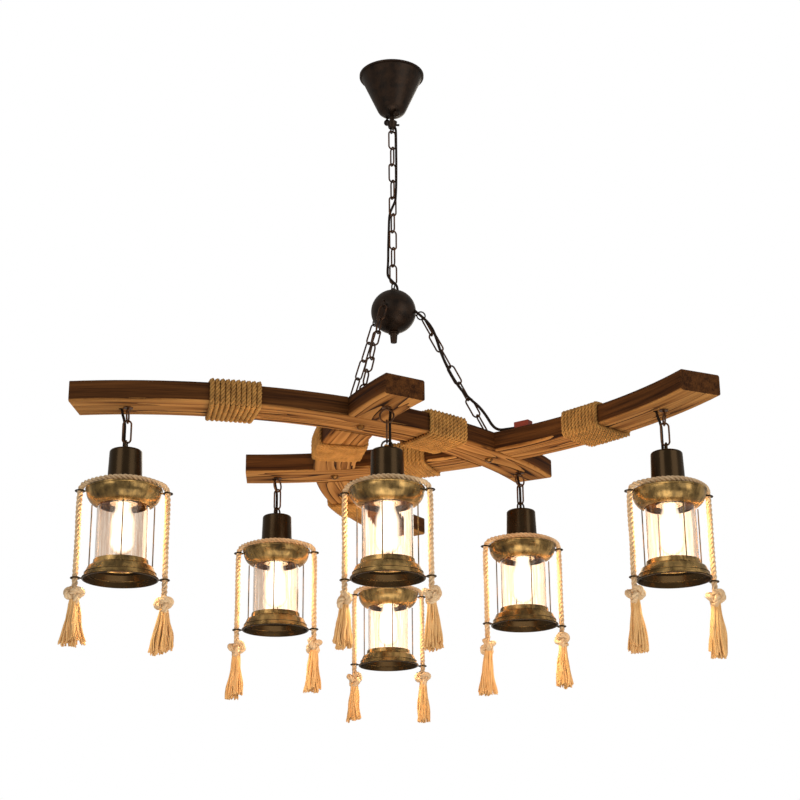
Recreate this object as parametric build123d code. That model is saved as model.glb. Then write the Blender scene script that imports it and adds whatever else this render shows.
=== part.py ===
"""Rustic pendant with six glass lanterns under three lapped timber arcs, in millimetres."""

from build123d import *
from math import atan2, cos, degrees, pi, radians, sin, sqrt, tan
import os

os.makedirs("parts", exist_ok=True)

# Plan of the three timber arcs
ARM_COUNT = 3
BEAM_ARC_RADIUS = 782.0
BEAM_CENTRE_DISTANCE = 685.1
BEAM_CENTRE_AZIMUTH = 130.69
BEAM_OUTER_END = 613.8
BEAM_INNER_END = 305.6
OUTER_EYE = 528.3
RIGHT_EYE = 519.0
INNER_EYE = 249.0
CROSSING = 145.2
BEAM_WIDTH = 74.0
BEAM_HEIGHT = 34.0
BEAM_ROUNDING = 3.5
LAP_CLEARANCE = 0.25

# General fits
HOLE_CLEARANCE = 0.2
SEAT_GAP = 0.3
OVERRUN = 5.0
SHEET = 1.2

# Chain
LINK_LENGTH = 40.0
LINK_WIDTH = 16.0
LINK_WIRE = 3.0
LINK_PLAY = 0.3
MAIN_LINKS = 9
MAIN_CHAIN_TURN = 25.0
SUPPORT_LINKS = 7

# Ceiling plate and canopy
CANOPY_RADIUS = 60.0
CANOPY_LIP = 4.0
CANOPY_SHOULDER_RADIUS = 57.0
CANOPY_WAIST_RADIUS = 26.8
CANOPY_WAIST_DEPTH = 70.0
CANOPY_DEPTH = 85.0
CANOPY_FLAT_RADIUS = 9.0
BRACKET_LENGTH = 100.0
BRACKET_WIDTH = 22.0
BRACKET_THICKNESS = 2.5
SLOT_SPACING = 70.0
SLOT_WIDTH = 5.0
SLOT_LENGTH = 14.0
STUD_RADIUS = 20.0
STUD_DIAMETER = 4.0
STUD_AZIMUTH = -63.0
BALL_NUT_DIAMETER = 12.0
BALL_NUT_DROP = 89.5
STEM_DIAMETER = 8.4
STEM_BORE = 5.0
STEM_END = 98.0
STEM_NUT_DIAMETER = 16.0
STEM_NUT_HEIGHT = 4.0

# Hanging loop under the stem
COLLAR_DIAMETER = 19.5
COLLAR_LOW_DIAMETER = 13.0
COLLAR_TOP = 98.3
COLLAR_BOTTOM = 110.6
COLLAR_GRUB_DIAMETER = 4.0
COLLAR_GRUB_LENGTH = 4.0
LOOP_RADIUS = 6.0
LOOP_WIRE = 3.0
LOOP_LOW_WIRE = 120.5

# Ball at the hub
BALL_RADIUS = 40.0
BALL_WALL = 1.4
BALL_DEPTH = 477.6
BALL_TOP_RING_RADIUS = 6.5
BALL_RING_WIRE = 2.5
BALL_SIDE_RING_RADIUS = 7.5
BALL_SIDE_RING_OUT = 49.75
BALL_SIDE_RING_DROP = 4.4
BALL_SIDE_RING_DEPTH = BALL_DEPTH + BALL_SIDE_RING_DROP
BALL_SHANK_DIAMETER = 3.0
BALL_ROD_DIAMETER = 6.0
BALL_NECK_DIAMETER = 9.0
FINIAL_TOP_DIAMETER = 14.0
FINIAL_LOW_DIAMETER = 11.0
FINIAL_LENGTH = 17.0
FINIAL_WASHER_DIAMETER = 19.0
FINIAL_WASHER = 1.5
SUPPLY_ENTRY = (8.0, -14.0, -440.8)

# Eye bolts at the lap joints
EYE_RADIUS = 6.5
EYE_WIRE = 3.0
EYE_RISE = 10.0
BOLT_DIAMETER = 5.0
BOLT_WASHER_DIAMETER = 18.0
BOLT_WASHER = 1.5
DOME_NUT_DIAMETER = 14.0
DOME_NUT_HEIGHT = 5.0

# Screw eyes over the lanterns
SCREW_EYE_RADIUS = 11.0
SCREW_EYE_WIRE = 3.0
SCREW_EYE_NECK = 2.0
SCREW_EYE_THREAD = 4.0
SCREW_EYE_PLATE = 1.5
SCREW_EYE_PLATE_DIAMETER = 15.0
SCREW_EYE_DEPTH = 20.0

# Rope windings
WINDING_ROPE = 7.0
WINDING_PITCH = 7.9
WINDING_TURNS = 10
WINDING_BEND = 7.7
WINDING_OUTER_START = -400.0
WINDING_INNER_START = -33.0

# Electric cords
CORD_DIAMETER = 4.5
FEED_DIAMETER = 5.0
CORD_HOLE = 8.0
CORD_HOLE_OFFSET = 12.0
BLOCK_LENGTH = 28.0
BLOCK_WIDTH = 15.0
BLOCK_HEIGHT = 11.0
BLOCK_AT = -231.0
BLOCK_INSET = 1.0
BLOCK_SCREW = 4.0

# Lantern
LANTERN_HEIGHT = 207.0
CUP_BASE_HEIGHT = 151.0
CUP_TOP_RADIUS = 25.5
CUP_LOW_RADIUS = 27.25
CUP_ROUNDING = 4.0
DOME_EDGE_HEIGHT = 144.0
DOME_FOOT_RADIUS = 30.0
BOWL_RADIUS = 58.0
BOWL_BULGE_RADIUS = 54.0
BOWL_BULGE_HEIGHT = 126.0
BOWL_WIDEST_HEIGHT = 141.0
BOWL_NECK_RADIUS = 41.6
BOWL_NECK_HEIGHT = 116.0
BOWL_BEAD = 1.7
ARCH_RADIUS = 8.5
ARCH_LEG = 7.0
ARCH_WIRE = 3.0
CUP_CORD_HOLE_RADIUS = 5.0
CUP_CORD_OFFSET = 4.5
GLASS_RADIUS = 40.0
GLASS_WALL = 2.5
GLASS_LOW = 20.5
GLASS_TOP = 134.0
BASE_RIM_RADIUS = 57.0
BASE_RIM_BEAD = 1.6
BASE_STEP_RADIUS = 54.5
BASE_STEP_HEIGHT = 9.0
BASE_SHOULDER_RADIUS = 50.0
BASE_SHOULDER_HEIGHT = 19.0
BASE_NECK_RADIUS = 41.8
BASE_NECK_HEIGHT = 30.0
BASE_LEDGE_RADIUS = 35.0
BASE_LEDGE_HEIGHT = 20.0
GUARD_RADIUS = 48.0
GUARD_WIRE = 2.0
GUARD_COUNT = 4
ARM_WIRE = 2.5
ARM_LOOP_OUT = 67.5
ARM_LOOP_RADIUS = 6.75
TOP_ARM_HEIGHT = 139.0
LOW_ARM_HEIGHT = 0.0
HOLDER_RADIUS = 19.5
HOLDER_SKIRT_RADIUS = 21.0
HOLDER_LOW = 120.0
HOLDER_STEP = 150.0
HOLDER_TOP = 192.0
HOLDER_PLATE_RADIUS = 22.0
HOLDER_PLATE = 2.0
HOLDER_POST_DIAMETER = 4.0
HOLDER_POST_OFFSET = 16.0
HOLDER_BORE_RADIUS = 13.8
HOLDER_BORE_DEPTH = 30.0
BULB_CAP_RADIUS = 13.3
BULB_CAP_LENGTH = 26.0
BULB_CAP_LOW = 121.0
BULB_NECK_RADIUS = 12.5
BULB_RADIUS = 20.0
BULB_LOW = 40.0

# Lantern rope
ROPE_DIAMETER = 9.0
KNOT_RADIUS = 16.0
KNOT_HEIGHT = 30.0
KNOT_TOP = -9.0
TASSEL_LOW = -114.0
TASSEL_TOP_RADIUS = 7.5
TASSEL_LOW_RADIUS = 17.0
SHOULDER_HEIGHT = 153.0
FRONT_HEIGHT = 158.0
SHOULDER_BEND = 10.0
SHOULDER_OUT = 48.0
SHOULDER_FRONT = -24.0
CROWN_FRONT = -43.0
SWAY = 0.9
SWAY_HEIGHTS = (104.0, 52.0, 12.0)

# Lantern places: beam number, distance along the beam, turn of its arms, turn of its screw eye
LANTERNS = {
    1: (0, -OUTER_EYE, 9.0, 90.0),
    2: (1, INNER_EYE, 0.0, 60.0),
    3: (2, INNER_EYE, -9.0, 0.0),
    4: (2, -OUTER_EYE, 10.0, 30.0),
    5: (0, INNER_EYE, 13.0, 45.0),
    6: (1, -RIGHT_EYE, 16.0, 90.0),
}

# Derived chain lengths
LINK_STRAIGHT = LINK_LENGTH - LINK_WIDTH
LINK_BEND = (LINK_WIDTH - LINK_WIRE) / 2
LINK_MEAN = LINK_LENGTH - LINK_WIRE
LINK_STEP = LINK_WIRE + LINK_PLAY
LINK_PITCH = LINK_MEAN - LINK_STEP
FIRST_WIRE = LOOP_LOW_WIRE - (LOOP_WIRE + LINK_WIRE) / 2 - LINK_PLAY
LAST_WIRE = FIRST_WIRE + MAIN_LINKS * LINK_PITCH + LINK_STEP
RING_STEP = (LINK_WIRE + BALL_RING_WIRE) / 2 + LINK_PLAY
BALL_RING_DEPTH = LAST_WIRE - RING_STEP + BALL_TOP_RING_RADIUS

# Derived heights of the beams
SUPPORT_LENGTH = SUPPORT_LINKS * LINK_PITCH + LINK_STEP
SUPPORT_START = BALL_SIDE_RING_RADIUS - RING_STEP
SUPPORT_SPAN = SUPPORT_START + SUPPORT_LENGTH - LINK_STEP + EYE_RADIUS


def arc_point(arm, along, across, height):
    """Point of one beam from its distances along and across the centreline."""
    turn = 360 / ARM_COUNT * arm
    centre = radians(BEAM_CENTRE_AZIMUTH + turn)
    angle = centre + radians(180) + along / BEAM_ARC_RADIUS
    radius = BEAM_ARC_RADIUS + across
    x = BEAM_CENTRE_DISTANCE * cos(centre) + radius * cos(angle)
    y = BEAM_CENTRE_DISTANCE * sin(centre) + radius * sin(angle)
    return Vector(x, y, height)


CROSS_POINT = arc_point(0, CROSSING, 0, 0)
CROSS_RADIUS = CROSS_POINT.length
CROSS_AZIMUTH = degrees(atan2(CROSS_POINT.Y, CROSS_POINT.X))
EYE_DROP = sqrt(SUPPORT_SPAN**2 - (CROSS_RADIUS - BALL_SIDE_RING_OUT) ** 2)
EYE_DEPTH = BALL_SIDE_RING_DEPTH + EYE_DROP
BEAM_TOP = -EYE_DEPTH - EYE_RISE
BEAM_LOW = BEAM_TOP - BEAM_HEIGHT

# Derived heights of a lantern's hanging parts
SCREW_EYE_CENTRE = BEAM_LOW - SCREW_EYE_NECK - SCREW_EYE_RADIUS - SCREW_EYE_WIRE / 2
EYE_LOW_WIRE = SCREW_EYE_CENTRE - SCREW_EYE_RADIUS
LINK_TOP_WIRE = EYE_LOW_WIRE + (SCREW_EYE_WIRE + LINK_WIRE) / 2 + LINK_PLAY
LINK_LOW_WIRE = LINK_TOP_WIRE - LINK_MEAN
ARCH_TOP_WIRE = LINK_LOW_WIRE + (ARCH_WIRE + LINK_WIRE) / 2 + LINK_PLAY
CUP_TOP = ARCH_TOP_WIRE - ARCH_RADIUS - ARCH_LEG
LANTERN_BASE = CUP_TOP - LANTERN_HEIGHT


# Alignments that let a shape stand on or hang from its origin
RISE = (Align.CENTER, Align.CENTER, Align.MIN)
FALL = (Align.CENTER, Align.CENTER, Align.MAX)


def export(name, *solids):
    """Write one named part."""
    shape = solids[0] if len(solids) == 1 else Compound(children=list(solids))
    export_step(shape, f"parts/{name}.step")


def upright(x, y, azimuth, height=0):
    """Plane standing on the vertical whose X direction is an azimuth and whose Y is up."""
    facing = Vector(sin(radians(azimuth)), -cos(radians(azimuth)), 0)
    along = Vector(cos(radians(azimuth)), sin(radians(azimuth)), 0)
    return Plane(origin=(x, y, height), x_dir=along, z_dir=facing)


def ring(plane, radius, wire):
    """Closed wire ring lying in a plane."""
    return plane * Torus(radius, wire / 2)


def rod(start, end, radius):
    """Round rod between two points."""
    start, end = Vector(start), Vector(end)
    plane = Plane(origin=start, z_dir=end - start)
    return plane * Cylinder(radius, (end - start).length, align=(Align.CENTER, Align.CENTER, Align.MIN))


def post(x, y, low, high, radius):
    """Upright round bar."""
    return rod((x, y, low), (x, y, high), radius)


def chain_link(plane):
    """Welded link whose long direction is the plane's X, centred on its origin."""
    half = LINK_STRAIGHT / 2
    path = Wire(
        [
            Line((-half, LINK_BEND), (half, LINK_BEND)),
            ThreePointArc((half, LINK_BEND), (half + LINK_BEND, 0), (half, -LINK_BEND)),
            Line((half, -LINK_BEND), (-half, -LINK_BEND)),
            ThreePointArc((-half, -LINK_BEND), (-half - LINK_BEND, 0), (-half, LINK_BEND)),
        ]
    )
    section = Plane(origin=(0, LINK_BEND, 0), z_dir=(1, 0, 0)) * Circle(LINK_WIRE / 2)
    return plane * sweep(section, path=Wire(path.edges()), transition=Transition.RIGHT)


def chain(start, direction, side, count):
    """Run of links along a direction, each turned a quarter from the one before."""
    direction, side = Vector(direction).normalized(), Vector(side).normalized()
    other = direction.cross(side)
    links = []
    for number in range(count):
        middle = Vector(start) + direction * (LINK_MEAN / 2 + number * LINK_PITCH)
        normal = other if number % 2 == 0 else side
        links.append(chain_link(Plane(origin=middle, x_dir=direction, z_dir=normal)))
    return links


def cord(name, points, diameter, tight=()):
    """Round cord along straight runs joined by arcs, with its bends printed."""
    points = [Vector(p) for p in points]
    bends = []
    for i in range(1, len(points) - 1):
        before, after = points[i] - points[i - 1], points[i + 1] - points[i]
        turn = radians(before.get_angle(after))
        bend = min(before.length, after.length) * 0.45 / tan(turn / 2)
        bends.append(min(bend, tight[i]) if i in tight else bend)
    print(name, "bends", [round(b, 1) for b in bends])
    path = FilletPolyline(*points, radius=bends)
    section = Plane(origin=points[0], z_dir=points[1] - points[0]) * Circle(diameter / 2)
    tube = sweep(section, path=path)
    ideal = pi * diameter**2 / 4 * path.length
    print(name, "length", round(path.length, 1), "volume share", round(tube.volume / ideal, 4))
    return tube


def revolve_profile(points):
    """Solid of revolution from a closed radius and height outline."""
    face = Plane.XZ * make_face(Polyline(*points, close=True))
    return revolve(face, axis=Axis.Z)


# Ceiling bracket
def make_bracket():
    """Flat bar with two fixing slots and a threaded centre."""
    flat = (Align.CENTER, Align.CENTER, Align.MAX)
    bar = Box(BRACKET_LENGTH, BRACKET_WIDTH, BRACKET_THICKNESS, align=flat)
    for side in (-1, 1):
        slot = Pos(side * SLOT_SPACING / 2, 0) * SlotOverall(SLOT_LENGTH, SLOT_WIDTH)
        bar -= extrude(slot, amount=BRACKET_THICKNESS + OVERRUN, both=True)
    bar -= Cylinder(STEM_DIAMETER / 2 + HOLE_CLEARANCE, BRACKET_THICKNESS + CANOPY_DEPTH)
    for stud in stud_places():
        bar -= Pos(stud) * Cylinder(STUD_DIAMETER / 2 + HOLE_CLEARANCE, BRACKET_THICKNESS + CANOPY_DEPTH)
    return bar


def stud_places():
    """Plan positions of the two canopy studs."""
    places = []
    for turn in (0, 180):
        angle = radians(STUD_AZIMUTH + turn)
        places.append(Vector(STUD_RADIUS * cos(angle), STUD_RADIUS * sin(angle), 0))
    return places


def canopy_outline(shrink):
    """Half outline of the canopy skin moved in by a wall."""
    bottom = -CANOPY_DEPTH + shrink
    slope = (CANOPY_SHOULDER_RADIUS - CANOPY_WAIST_RADIUS) / (CANOPY_WAIST_DEPTH - CANOPY_LIP)
    waist = Vector(CANOPY_WAIST_RADIUS - shrink, -CANOPY_WAIST_DEPTH)
    flat = Vector(CANOPY_FLAT_RADIUS, bottom)
    corner = JernArc(flat, (1, 0), (waist.Y - bottom) * 1.28, degrees(atan2(1, slope)))
    rim = Vector(CANOPY_SHOULDER_RADIUS - shrink, -CANOPY_LIP)
    lines = [Line((0, bottom), flat), corner, Line(corner @ 1, rim)]
    return lines, rim


def make_canopy():
    """Spun sheet cone with a flat lip against the ceiling."""
    outer, rim = canopy_outline(0)
    outer += [Line(rim, (CANOPY_RADIUS, -CANOPY_LIP)), Line((CANOPY_RADIUS, -CANOPY_LIP), (CANOPY_RADIUS, 0))]
    outer += [Line((CANOPY_RADIUS, 0), (0, 0)), Line((0, 0), (0, -CANOPY_DEPTH))]
    body = revolve(Plane.XZ * make_face(Curve() + outer), axis=Axis.Z)
    inner, inner_rim = canopy_outline(SHEET)
    inner += [Line(inner_rim, (inner_rim.X, OVERRUN)), Line((inner_rim.X, OVERRUN), (0, OVERRUN))]
    inner += [Line((0, OVERRUN), (0, -CANOPY_DEPTH + SHEET))]
    body -= revolve(Plane.XZ * make_face(Curve() + inner), axis=Axis.Z)
    body -= Cylinder(STEM_DIAMETER / 2 + HOLE_CLEARANCE, CANOPY_DEPTH + STEM_END, align=FALL)
    for place in stud_places():
        body -= Pos(place) * Cylinder(STUD_DIAMETER / 2 + HOLE_CLEARANCE, CANOPY_DEPTH + STEM_END, align=FALL)
    return body


def make_canopy_fixings():
    """Two studs from the bracket with ball nuts under the canopy."""
    pieces = []
    for place in stud_places():
        stud = post(place.X, place.Y, -BALL_NUT_DROP, 0, STUD_DIAMETER / 2)
        nut = Pos(place.X, place.Y, -BALL_NUT_DROP) * Sphere(BALL_NUT_DIAMETER / 2)
        pieces.append(stud + nut)
    return pieces


def make_stem():
    """Hollow threaded stem with its nuts over the bracket and inside the canopy."""
    stem = post(0, 0, -STEM_END, 0, STEM_DIAMETER / 2)
    low = -CANOPY_DEPTH + SHEET + HOLE_CLEARANCE
    nut = post(0, 0, low, low + STEM_NUT_HEIGHT, STEM_NUT_DIAMETER / 2)
    under = -BRACKET_THICKNESS - HOLE_CLEARANCE
    lock = post(0, 0, under - STEM_NUT_HEIGHT, under, STEM_NUT_DIAMETER / 2)
    return stem + nut + lock - Cylinder(STEM_BORE / 2, STEM_END * 3)


def make_hang_loop():
    """Collar with a side screw and the closed loop that carries the chain."""
    neck = LOOP_LOW_WIRE - LOOP_RADIUS
    body = Plane(origin=(0, 0, -COLLAR_BOTTOM)) * Cone(
        COLLAR_LOW_DIAMETER / 2, COLLAR_DIAMETER / 2, COLLAR_BOTTOM - COLLAR_TOP,
        align=(Align.CENTER, Align.CENTER, Align.MIN),
    )
    grub_height = -(COLLAR_TOP + COLLAR_BOTTOM) / 2
    reach = COLLAR_DIAMETER / 2
    grub = rod((reach / 2, 0, grub_height), (reach + COLLAR_GRUB_LENGTH, 0, grub_height), COLLAR_GRUB_DIAMETER / 2)
    loop = ring(upright(0, 0, loop_azimuth(), -neck), LOOP_RADIUS, LOOP_WIRE)
    return body + grub + loop


def loop_azimuth():
    """Direction across the hanging loop, a quarter from the first link."""
    return MAIN_CHAIN_TURN + 90


def make_main_chain():
    """Nine links from the hanging loop to the ball."""
    side = Vector(cos(radians(MAIN_CHAIN_TURN)), sin(radians(MAIN_CHAIN_TURN)), 0)
    return chain((0, 0, -FIRST_WIRE), (0, 0, -1), side, MAIN_LINKS)


def make_supply_cord():
    """Cord laced down the main chain from under the collar to the ball."""
    return cord("supply_cord", supply_route(), CORD_DIAMETER)


def make_ball():
    """Hollow sphere with holes for its rod, rings and cords."""
    centre = Pos(0, 0, -BALL_DEPTH)
    shell = centre * Sphere(BALL_RADIUS) - centre * Sphere(BALL_RADIUS - BALL_WALL)
    shell -= post(0, 0, -BALL_DEPTH - BALL_RADIUS * 2, 0, BALL_ROD_DIAMETER / 2 + HOLE_CLEARANCE)
    for azimuth in support_azimuths():
        way = Vector(cos(radians(azimuth)), sin(radians(azimuth)), 0)
        foot = Vector(0, 0, -BALL_SIDE_RING_DEPTH)
        shell -= rod(foot, foot + way * BALL_RADIUS * 2, BALL_SHANK_DIAMETER / 2 + HOLE_CLEARANCE)
    inward = (Vector(FEED_ROUTE[0]) - Vector(FEED_ROUTE[1])).normalized() * BALL_RADIUS / 2
    shell -= rod(Vector(FEED_ROUTE[0]) - inward, Vector(FEED_ROUTE[0]) + inward, FEED_DIAMETER / 2 + SEAT_GAP)
    entry = Vector(*SUPPLY_ENTRY)
    drop = (entry - Vector(0, 0, -BALL_DEPTH)).normalized() * BALL_RADIUS / 2
    shell -= rod(entry - drop, entry + drop, CORD_DIAMETER / 2 + SEAT_GAP)
    return shell


def support_azimuths():
    """Directions of the three support chains."""
    return [CROSS_AZIMUTH + 360 / ARM_COUNT * arm for arm in range(ARM_COUNT)]


def make_ball_fittings():
    """Through rod with top ring and finial, and three side rings with their nuts."""
    top = -BALL_DEPTH + BALL_RADIUS
    low = -BALL_DEPTH - BALL_RADIUS
    washer_top = low - SEAT_GAP
    finial_top = washer_top - FINIAL_WASHER
    rod_top = -BALL_RING_DEPTH - BALL_TOP_RING_RADIUS
    core = post(0, 0, finial_top - FINIAL_LENGTH / 2, rod_top, BALL_ROD_DIAMETER / 2)
    core += post(0, 0, top + SEAT_GAP, rod_top, BALL_NECK_DIAMETER / 2)
    core += ring(upright(0, 0, MAIN_CHAIN_TURN + 90, -BALL_RING_DEPTH), BALL_TOP_RING_RADIUS, BALL_RING_WIRE)
    core += post(0, 0, finial_top, washer_top, FINIAL_WASHER_DIAMETER / 2)
    cone = Cone(FINIAL_LOW_DIAMETER / 2, FINIAL_TOP_DIAMETER / 2, FINIAL_LENGTH, align=FALL)
    core += Pos(0, 0, finial_top) * cone
    pieces = [core]
    for azimuth in support_azimuths():
        pieces.append(side_ring(azimuth))
    return pieces


def side_ring(azimuth):
    """Ring on a short shank through the ball wall."""
    way = Vector(cos(radians(azimuth)), sin(radians(azimuth)), 0)
    middle = way * BALL_SIDE_RING_OUT + Vector(0, 0, -BALL_SIDE_RING_DEPTH)
    hoop = ring(upright(middle.X, middle.Y, azimuth, middle.Z), BALL_SIDE_RING_RADIUS, BALL_RING_WIRE)
    level = Vector(0, 0, -BALL_SIDE_RING_DEPTH)
    inner = sqrt((BALL_RADIUS - BALL_WALL) ** 2 - (BALL_SIDE_RING_DEPTH - BALL_DEPTH) ** 2)
    nut_end = level + way * (inner - BALL_WALL)
    nut_start = nut_end - way * BALL_SHANK_DIAMETER
    shank = rod(nut_start, level + way * (BALL_SIDE_RING_OUT - BALL_SIDE_RING_RADIUS), BALL_SHANK_DIAMETER / 2)
    return hoop + shank + rod(nut_start, nut_end, BALL_SHANK_DIAMETER)


def make_support_chains():
    """Three chains of seven links from the ball's rings to the eye bolts."""
    links = []
    for azimuth in support_azimuths():
        way = Vector(cos(radians(azimuth)), sin(radians(azimuth)), 0)
        start = way * BALL_SIDE_RING_OUT + Vector(0, 0, -BALL_SIDE_RING_DEPTH)
        end = way * CROSS_RADIUS + Vector(0, 0, -EYE_DEPTH)
        direction = (end - start).normalized()
        side = Vector(0, 0, 1).cross(way)
        links += chain(start + direction * SUPPORT_START, direction, side, SUPPORT_LINKS)
    return links


def beam_footprint(arm, extra_side, extra_end):
    """Plan outline of one beam, grown by a side and an end allowance."""
    half = BEAM_WIDTH / 2 + extra_side
    start, end = -BEAM_OUTER_END - extra_end, BEAM_INNER_END + extra_end
    middle = (start + end) / 2
    outer = [arc_point(arm, s, half, 0) for s in (start, middle, end)]
    inner = [arc_point(arm, s, -half, 0) for s in (end, middle, start)]
    lines = [ThreePointArc(*outer), Line(outer[2], inner[0]), ThreePointArc(*inner), Line(inner[2], outer[0])]
    return make_face(Curve() + lines)


def make_beam(arm, lap_cuts):
    """Arc of timber with eased edges, half laps and its drilled holes."""
    body = extrude(Pos(0, 0, BEAM_LOW) * beam_footprint(arm, 0, 0), amount=BEAM_HEIGHT)
    flat = [e for e in body.edges() if abs(e.bounding_box().size.Z) < LAP_CLEARANCE]
    body = fillet([e for e in flat if e.length > BEAM_WIDTH * 2], BEAM_ROUNDING)
    half = BEAM_HEIGHT / 2
    for other, upper_is_cut in lap_cuts:
        base = BEAM_LOW + half if upper_is_cut else BEAM_LOW - OVERRUN
        body -= extrude(Pos(0, 0, base) * beam_footprint(other, LAP_CLEARANCE, OVERRUN), amount=half + OVERRUN)
    for azimuth in support_azimuths():
        x, y = CROSS_RADIUS * cos(radians(azimuth)), CROSS_RADIUS * sin(radians(azimuth))
        body -= post(x, y, BEAM_LOW - OVERRUN, BEAM_TOP + OVERRUN, BOLT_DIAMETER / 2 + HOLE_CLEARANCE)
    for number, (beam, along, _, eye_turn) in LANTERNS.items():
        if beam == arm:
            body = drill_lantern_holes(body, beam, along, eye_turn)
    return body


def drill_lantern_holes(body, beam, along, eye_turn):
    """Pilot hole of the screw eye and the cord hole beside it."""
    place = arc_point(beam, along, 0, 0)
    depth = BEAM_LOW + SCREW_EYE_DEPTH + HOLE_CLEARANCE
    body -= post(place.X, place.Y, BEAM_LOW - OVERRUN, depth, SCREW_EYE_THREAD / 2 + HOLE_CLEARANCE)
    eye = upright(place.X, place.Y, eye_turn)
    hole = place + eye.x_dir * CORD_HOLE_OFFSET / 2 - eye.z_dir * CORD_HOLE_OFFSET
    return body - post(hole.X, hole.Y, BEAM_LOW - OVERRUN, BEAM_TOP + OVERRUN, CORD_HOLE / 2)


def make_eye_bolts():
    """Three eye bolts through the laps with their dome nuts."""
    pieces = []
    for azimuth in support_azimuths():
        x, y = CROSS_RADIUS * cos(radians(azimuth)), CROSS_RADIUS * sin(radians(azimuth))
        bolt = ring(upright(x, y, azimuth, -EYE_DEPTH), EYE_RADIUS, EYE_WIRE)
        bolt += post(x, y, BEAM_LOW - DOME_NUT_HEIGHT / 2, -EYE_DEPTH - EYE_RADIUS, BOLT_DIAMETER / 2)
        bolt += post(x, y, BEAM_TOP, BEAM_TOP + BOLT_WASHER, BOLT_WASHER_DIAMETER / 2)
        dome = Pos(x, y, BEAM_LOW) * Sphere(DOME_NUT_DIAMETER / 2)
        cut = Pos(x, y, BEAM_LOW) * Box(BEAM_WIDTH, BEAM_WIDTH, BEAM_HEIGHT, align=RISE)
        pieces.append(bolt + (dome - cut))
    return pieces


def make_screw_eyes():
    """Six screw eyes under the beams."""
    pieces = []
    for beam, along, _, eye_turn in LANTERNS.values():
        place = arc_point(beam, along, 0, 0)
        eye = ring(upright(place.X, place.Y, eye_turn, SCREW_EYE_CENTRE), SCREW_EYE_RADIUS, SCREW_EYE_WIRE)
        neck_low = SCREW_EYE_CENTRE + SCREW_EYE_RADIUS
        eye += post(place.X, place.Y, neck_low, BEAM_LOW + SCREW_EYE_DEPTH, SCREW_EYE_THREAD / 2)
        eye += post(place.X, place.Y, BEAM_LOW - SCREW_EYE_PLATE, BEAM_LOW, SCREW_EYE_PLATE_DIAMETER / 2)
        pieces.append(eye)
    return pieces


def winding_points(arm, start):
    """Corner points of one winding: square turns below and at the sides, shifting on top."""
    off = WINDING_ROPE / 2 + SEAT_GAP
    side = BEAM_WIDTH / 2 + off
    low, top = BEAM_LOW - off, BEAM_TOP + off
    points = [arc_point(arm, start - WINDING_PITCH / 2, 0, top)]
    for turn in range(WINDING_TURNS):
        along = start + turn * WINDING_PITCH
        points.append(arc_point(arm, along, side, top))
        points.append(arc_point(arm, along, side, low))
        points.append(arc_point(arm, along, -side, low))
        points.append(arc_point(arm, along, -side, top))
    points.append(arc_point(arm, start + (WINDING_TURNS - 1 / 2) * WINDING_PITCH, 0, top))
    return points


def make_winding(arm, start):
    """One rope winding around a beam."""
    points = winding_points(arm, start)
    bends = [WINDING_BEND] * (len(points) - 2)
    path = FilletPolyline(*points, radius=bends)
    section = Plane(origin=points[0], z_dir=points[1] - points[0]) * Circle(WINDING_ROPE / 2)
    return sweep(section, path=path)


def print_winding_gap(arm, start):
    """Least gap between neighbouring turns, measured on points of their straight runs."""
    points = winding_points(arm, start)
    least = BEAM_WIDTH
    shares = [step / 10 for step in range(11)]
    loop = 4
    for i in range(1, len(points) - 2):
        run = [points[i] + (points[i + 1] - points[i]) * share for share in shares]
        for j in (i + loop,):
            if j + 1 < len(points):
                near = [points[j] + (points[j + 1] - points[j]) * share for share in shares]
                least = min([least] + [(a - b).length for a in run for b in near])
    print("winding gap", round(least - WINDING_ROPE, 3))


def make_rope_wraps():
    """Two windings on each beam."""
    coils = []
    for arm in range(ARM_COUNT):
        for start in (WINDING_OUTER_START, WINDING_INNER_START):
            coils.append(make_winding(arm, start))
            print_winding_gap(arm, start)
    return coils


def make_terminal_block():
    """Connector block on the right beam with two clamp screws."""
    across = -BEAM_WIDTH / 2 + BEAM_ROUNDING + BLOCK_INSET + BLOCK_WIDTH / 2
    place = arc_point(1, BLOCK_AT, across, BEAM_TOP)
    ahead = arc_point(1, BLOCK_AT + BLOCK_LENGTH, across, BEAM_TOP) - place
    plane = Plane(origin=place, x_dir=ahead, z_dir=(0, 0, 1))
    block = plane * Box(BLOCK_LENGTH, BLOCK_WIDTH, BLOCK_HEIGHT, align=RISE)
    for side in (-1, 1):
        way = plane * Pos(side * BLOCK_LENGTH / 4, 0, BLOCK_HEIGHT)
        block -= way * Cylinder(BLOCK_SCREW / 2, BLOCK_HEIGHT / 2)
    return block


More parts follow.
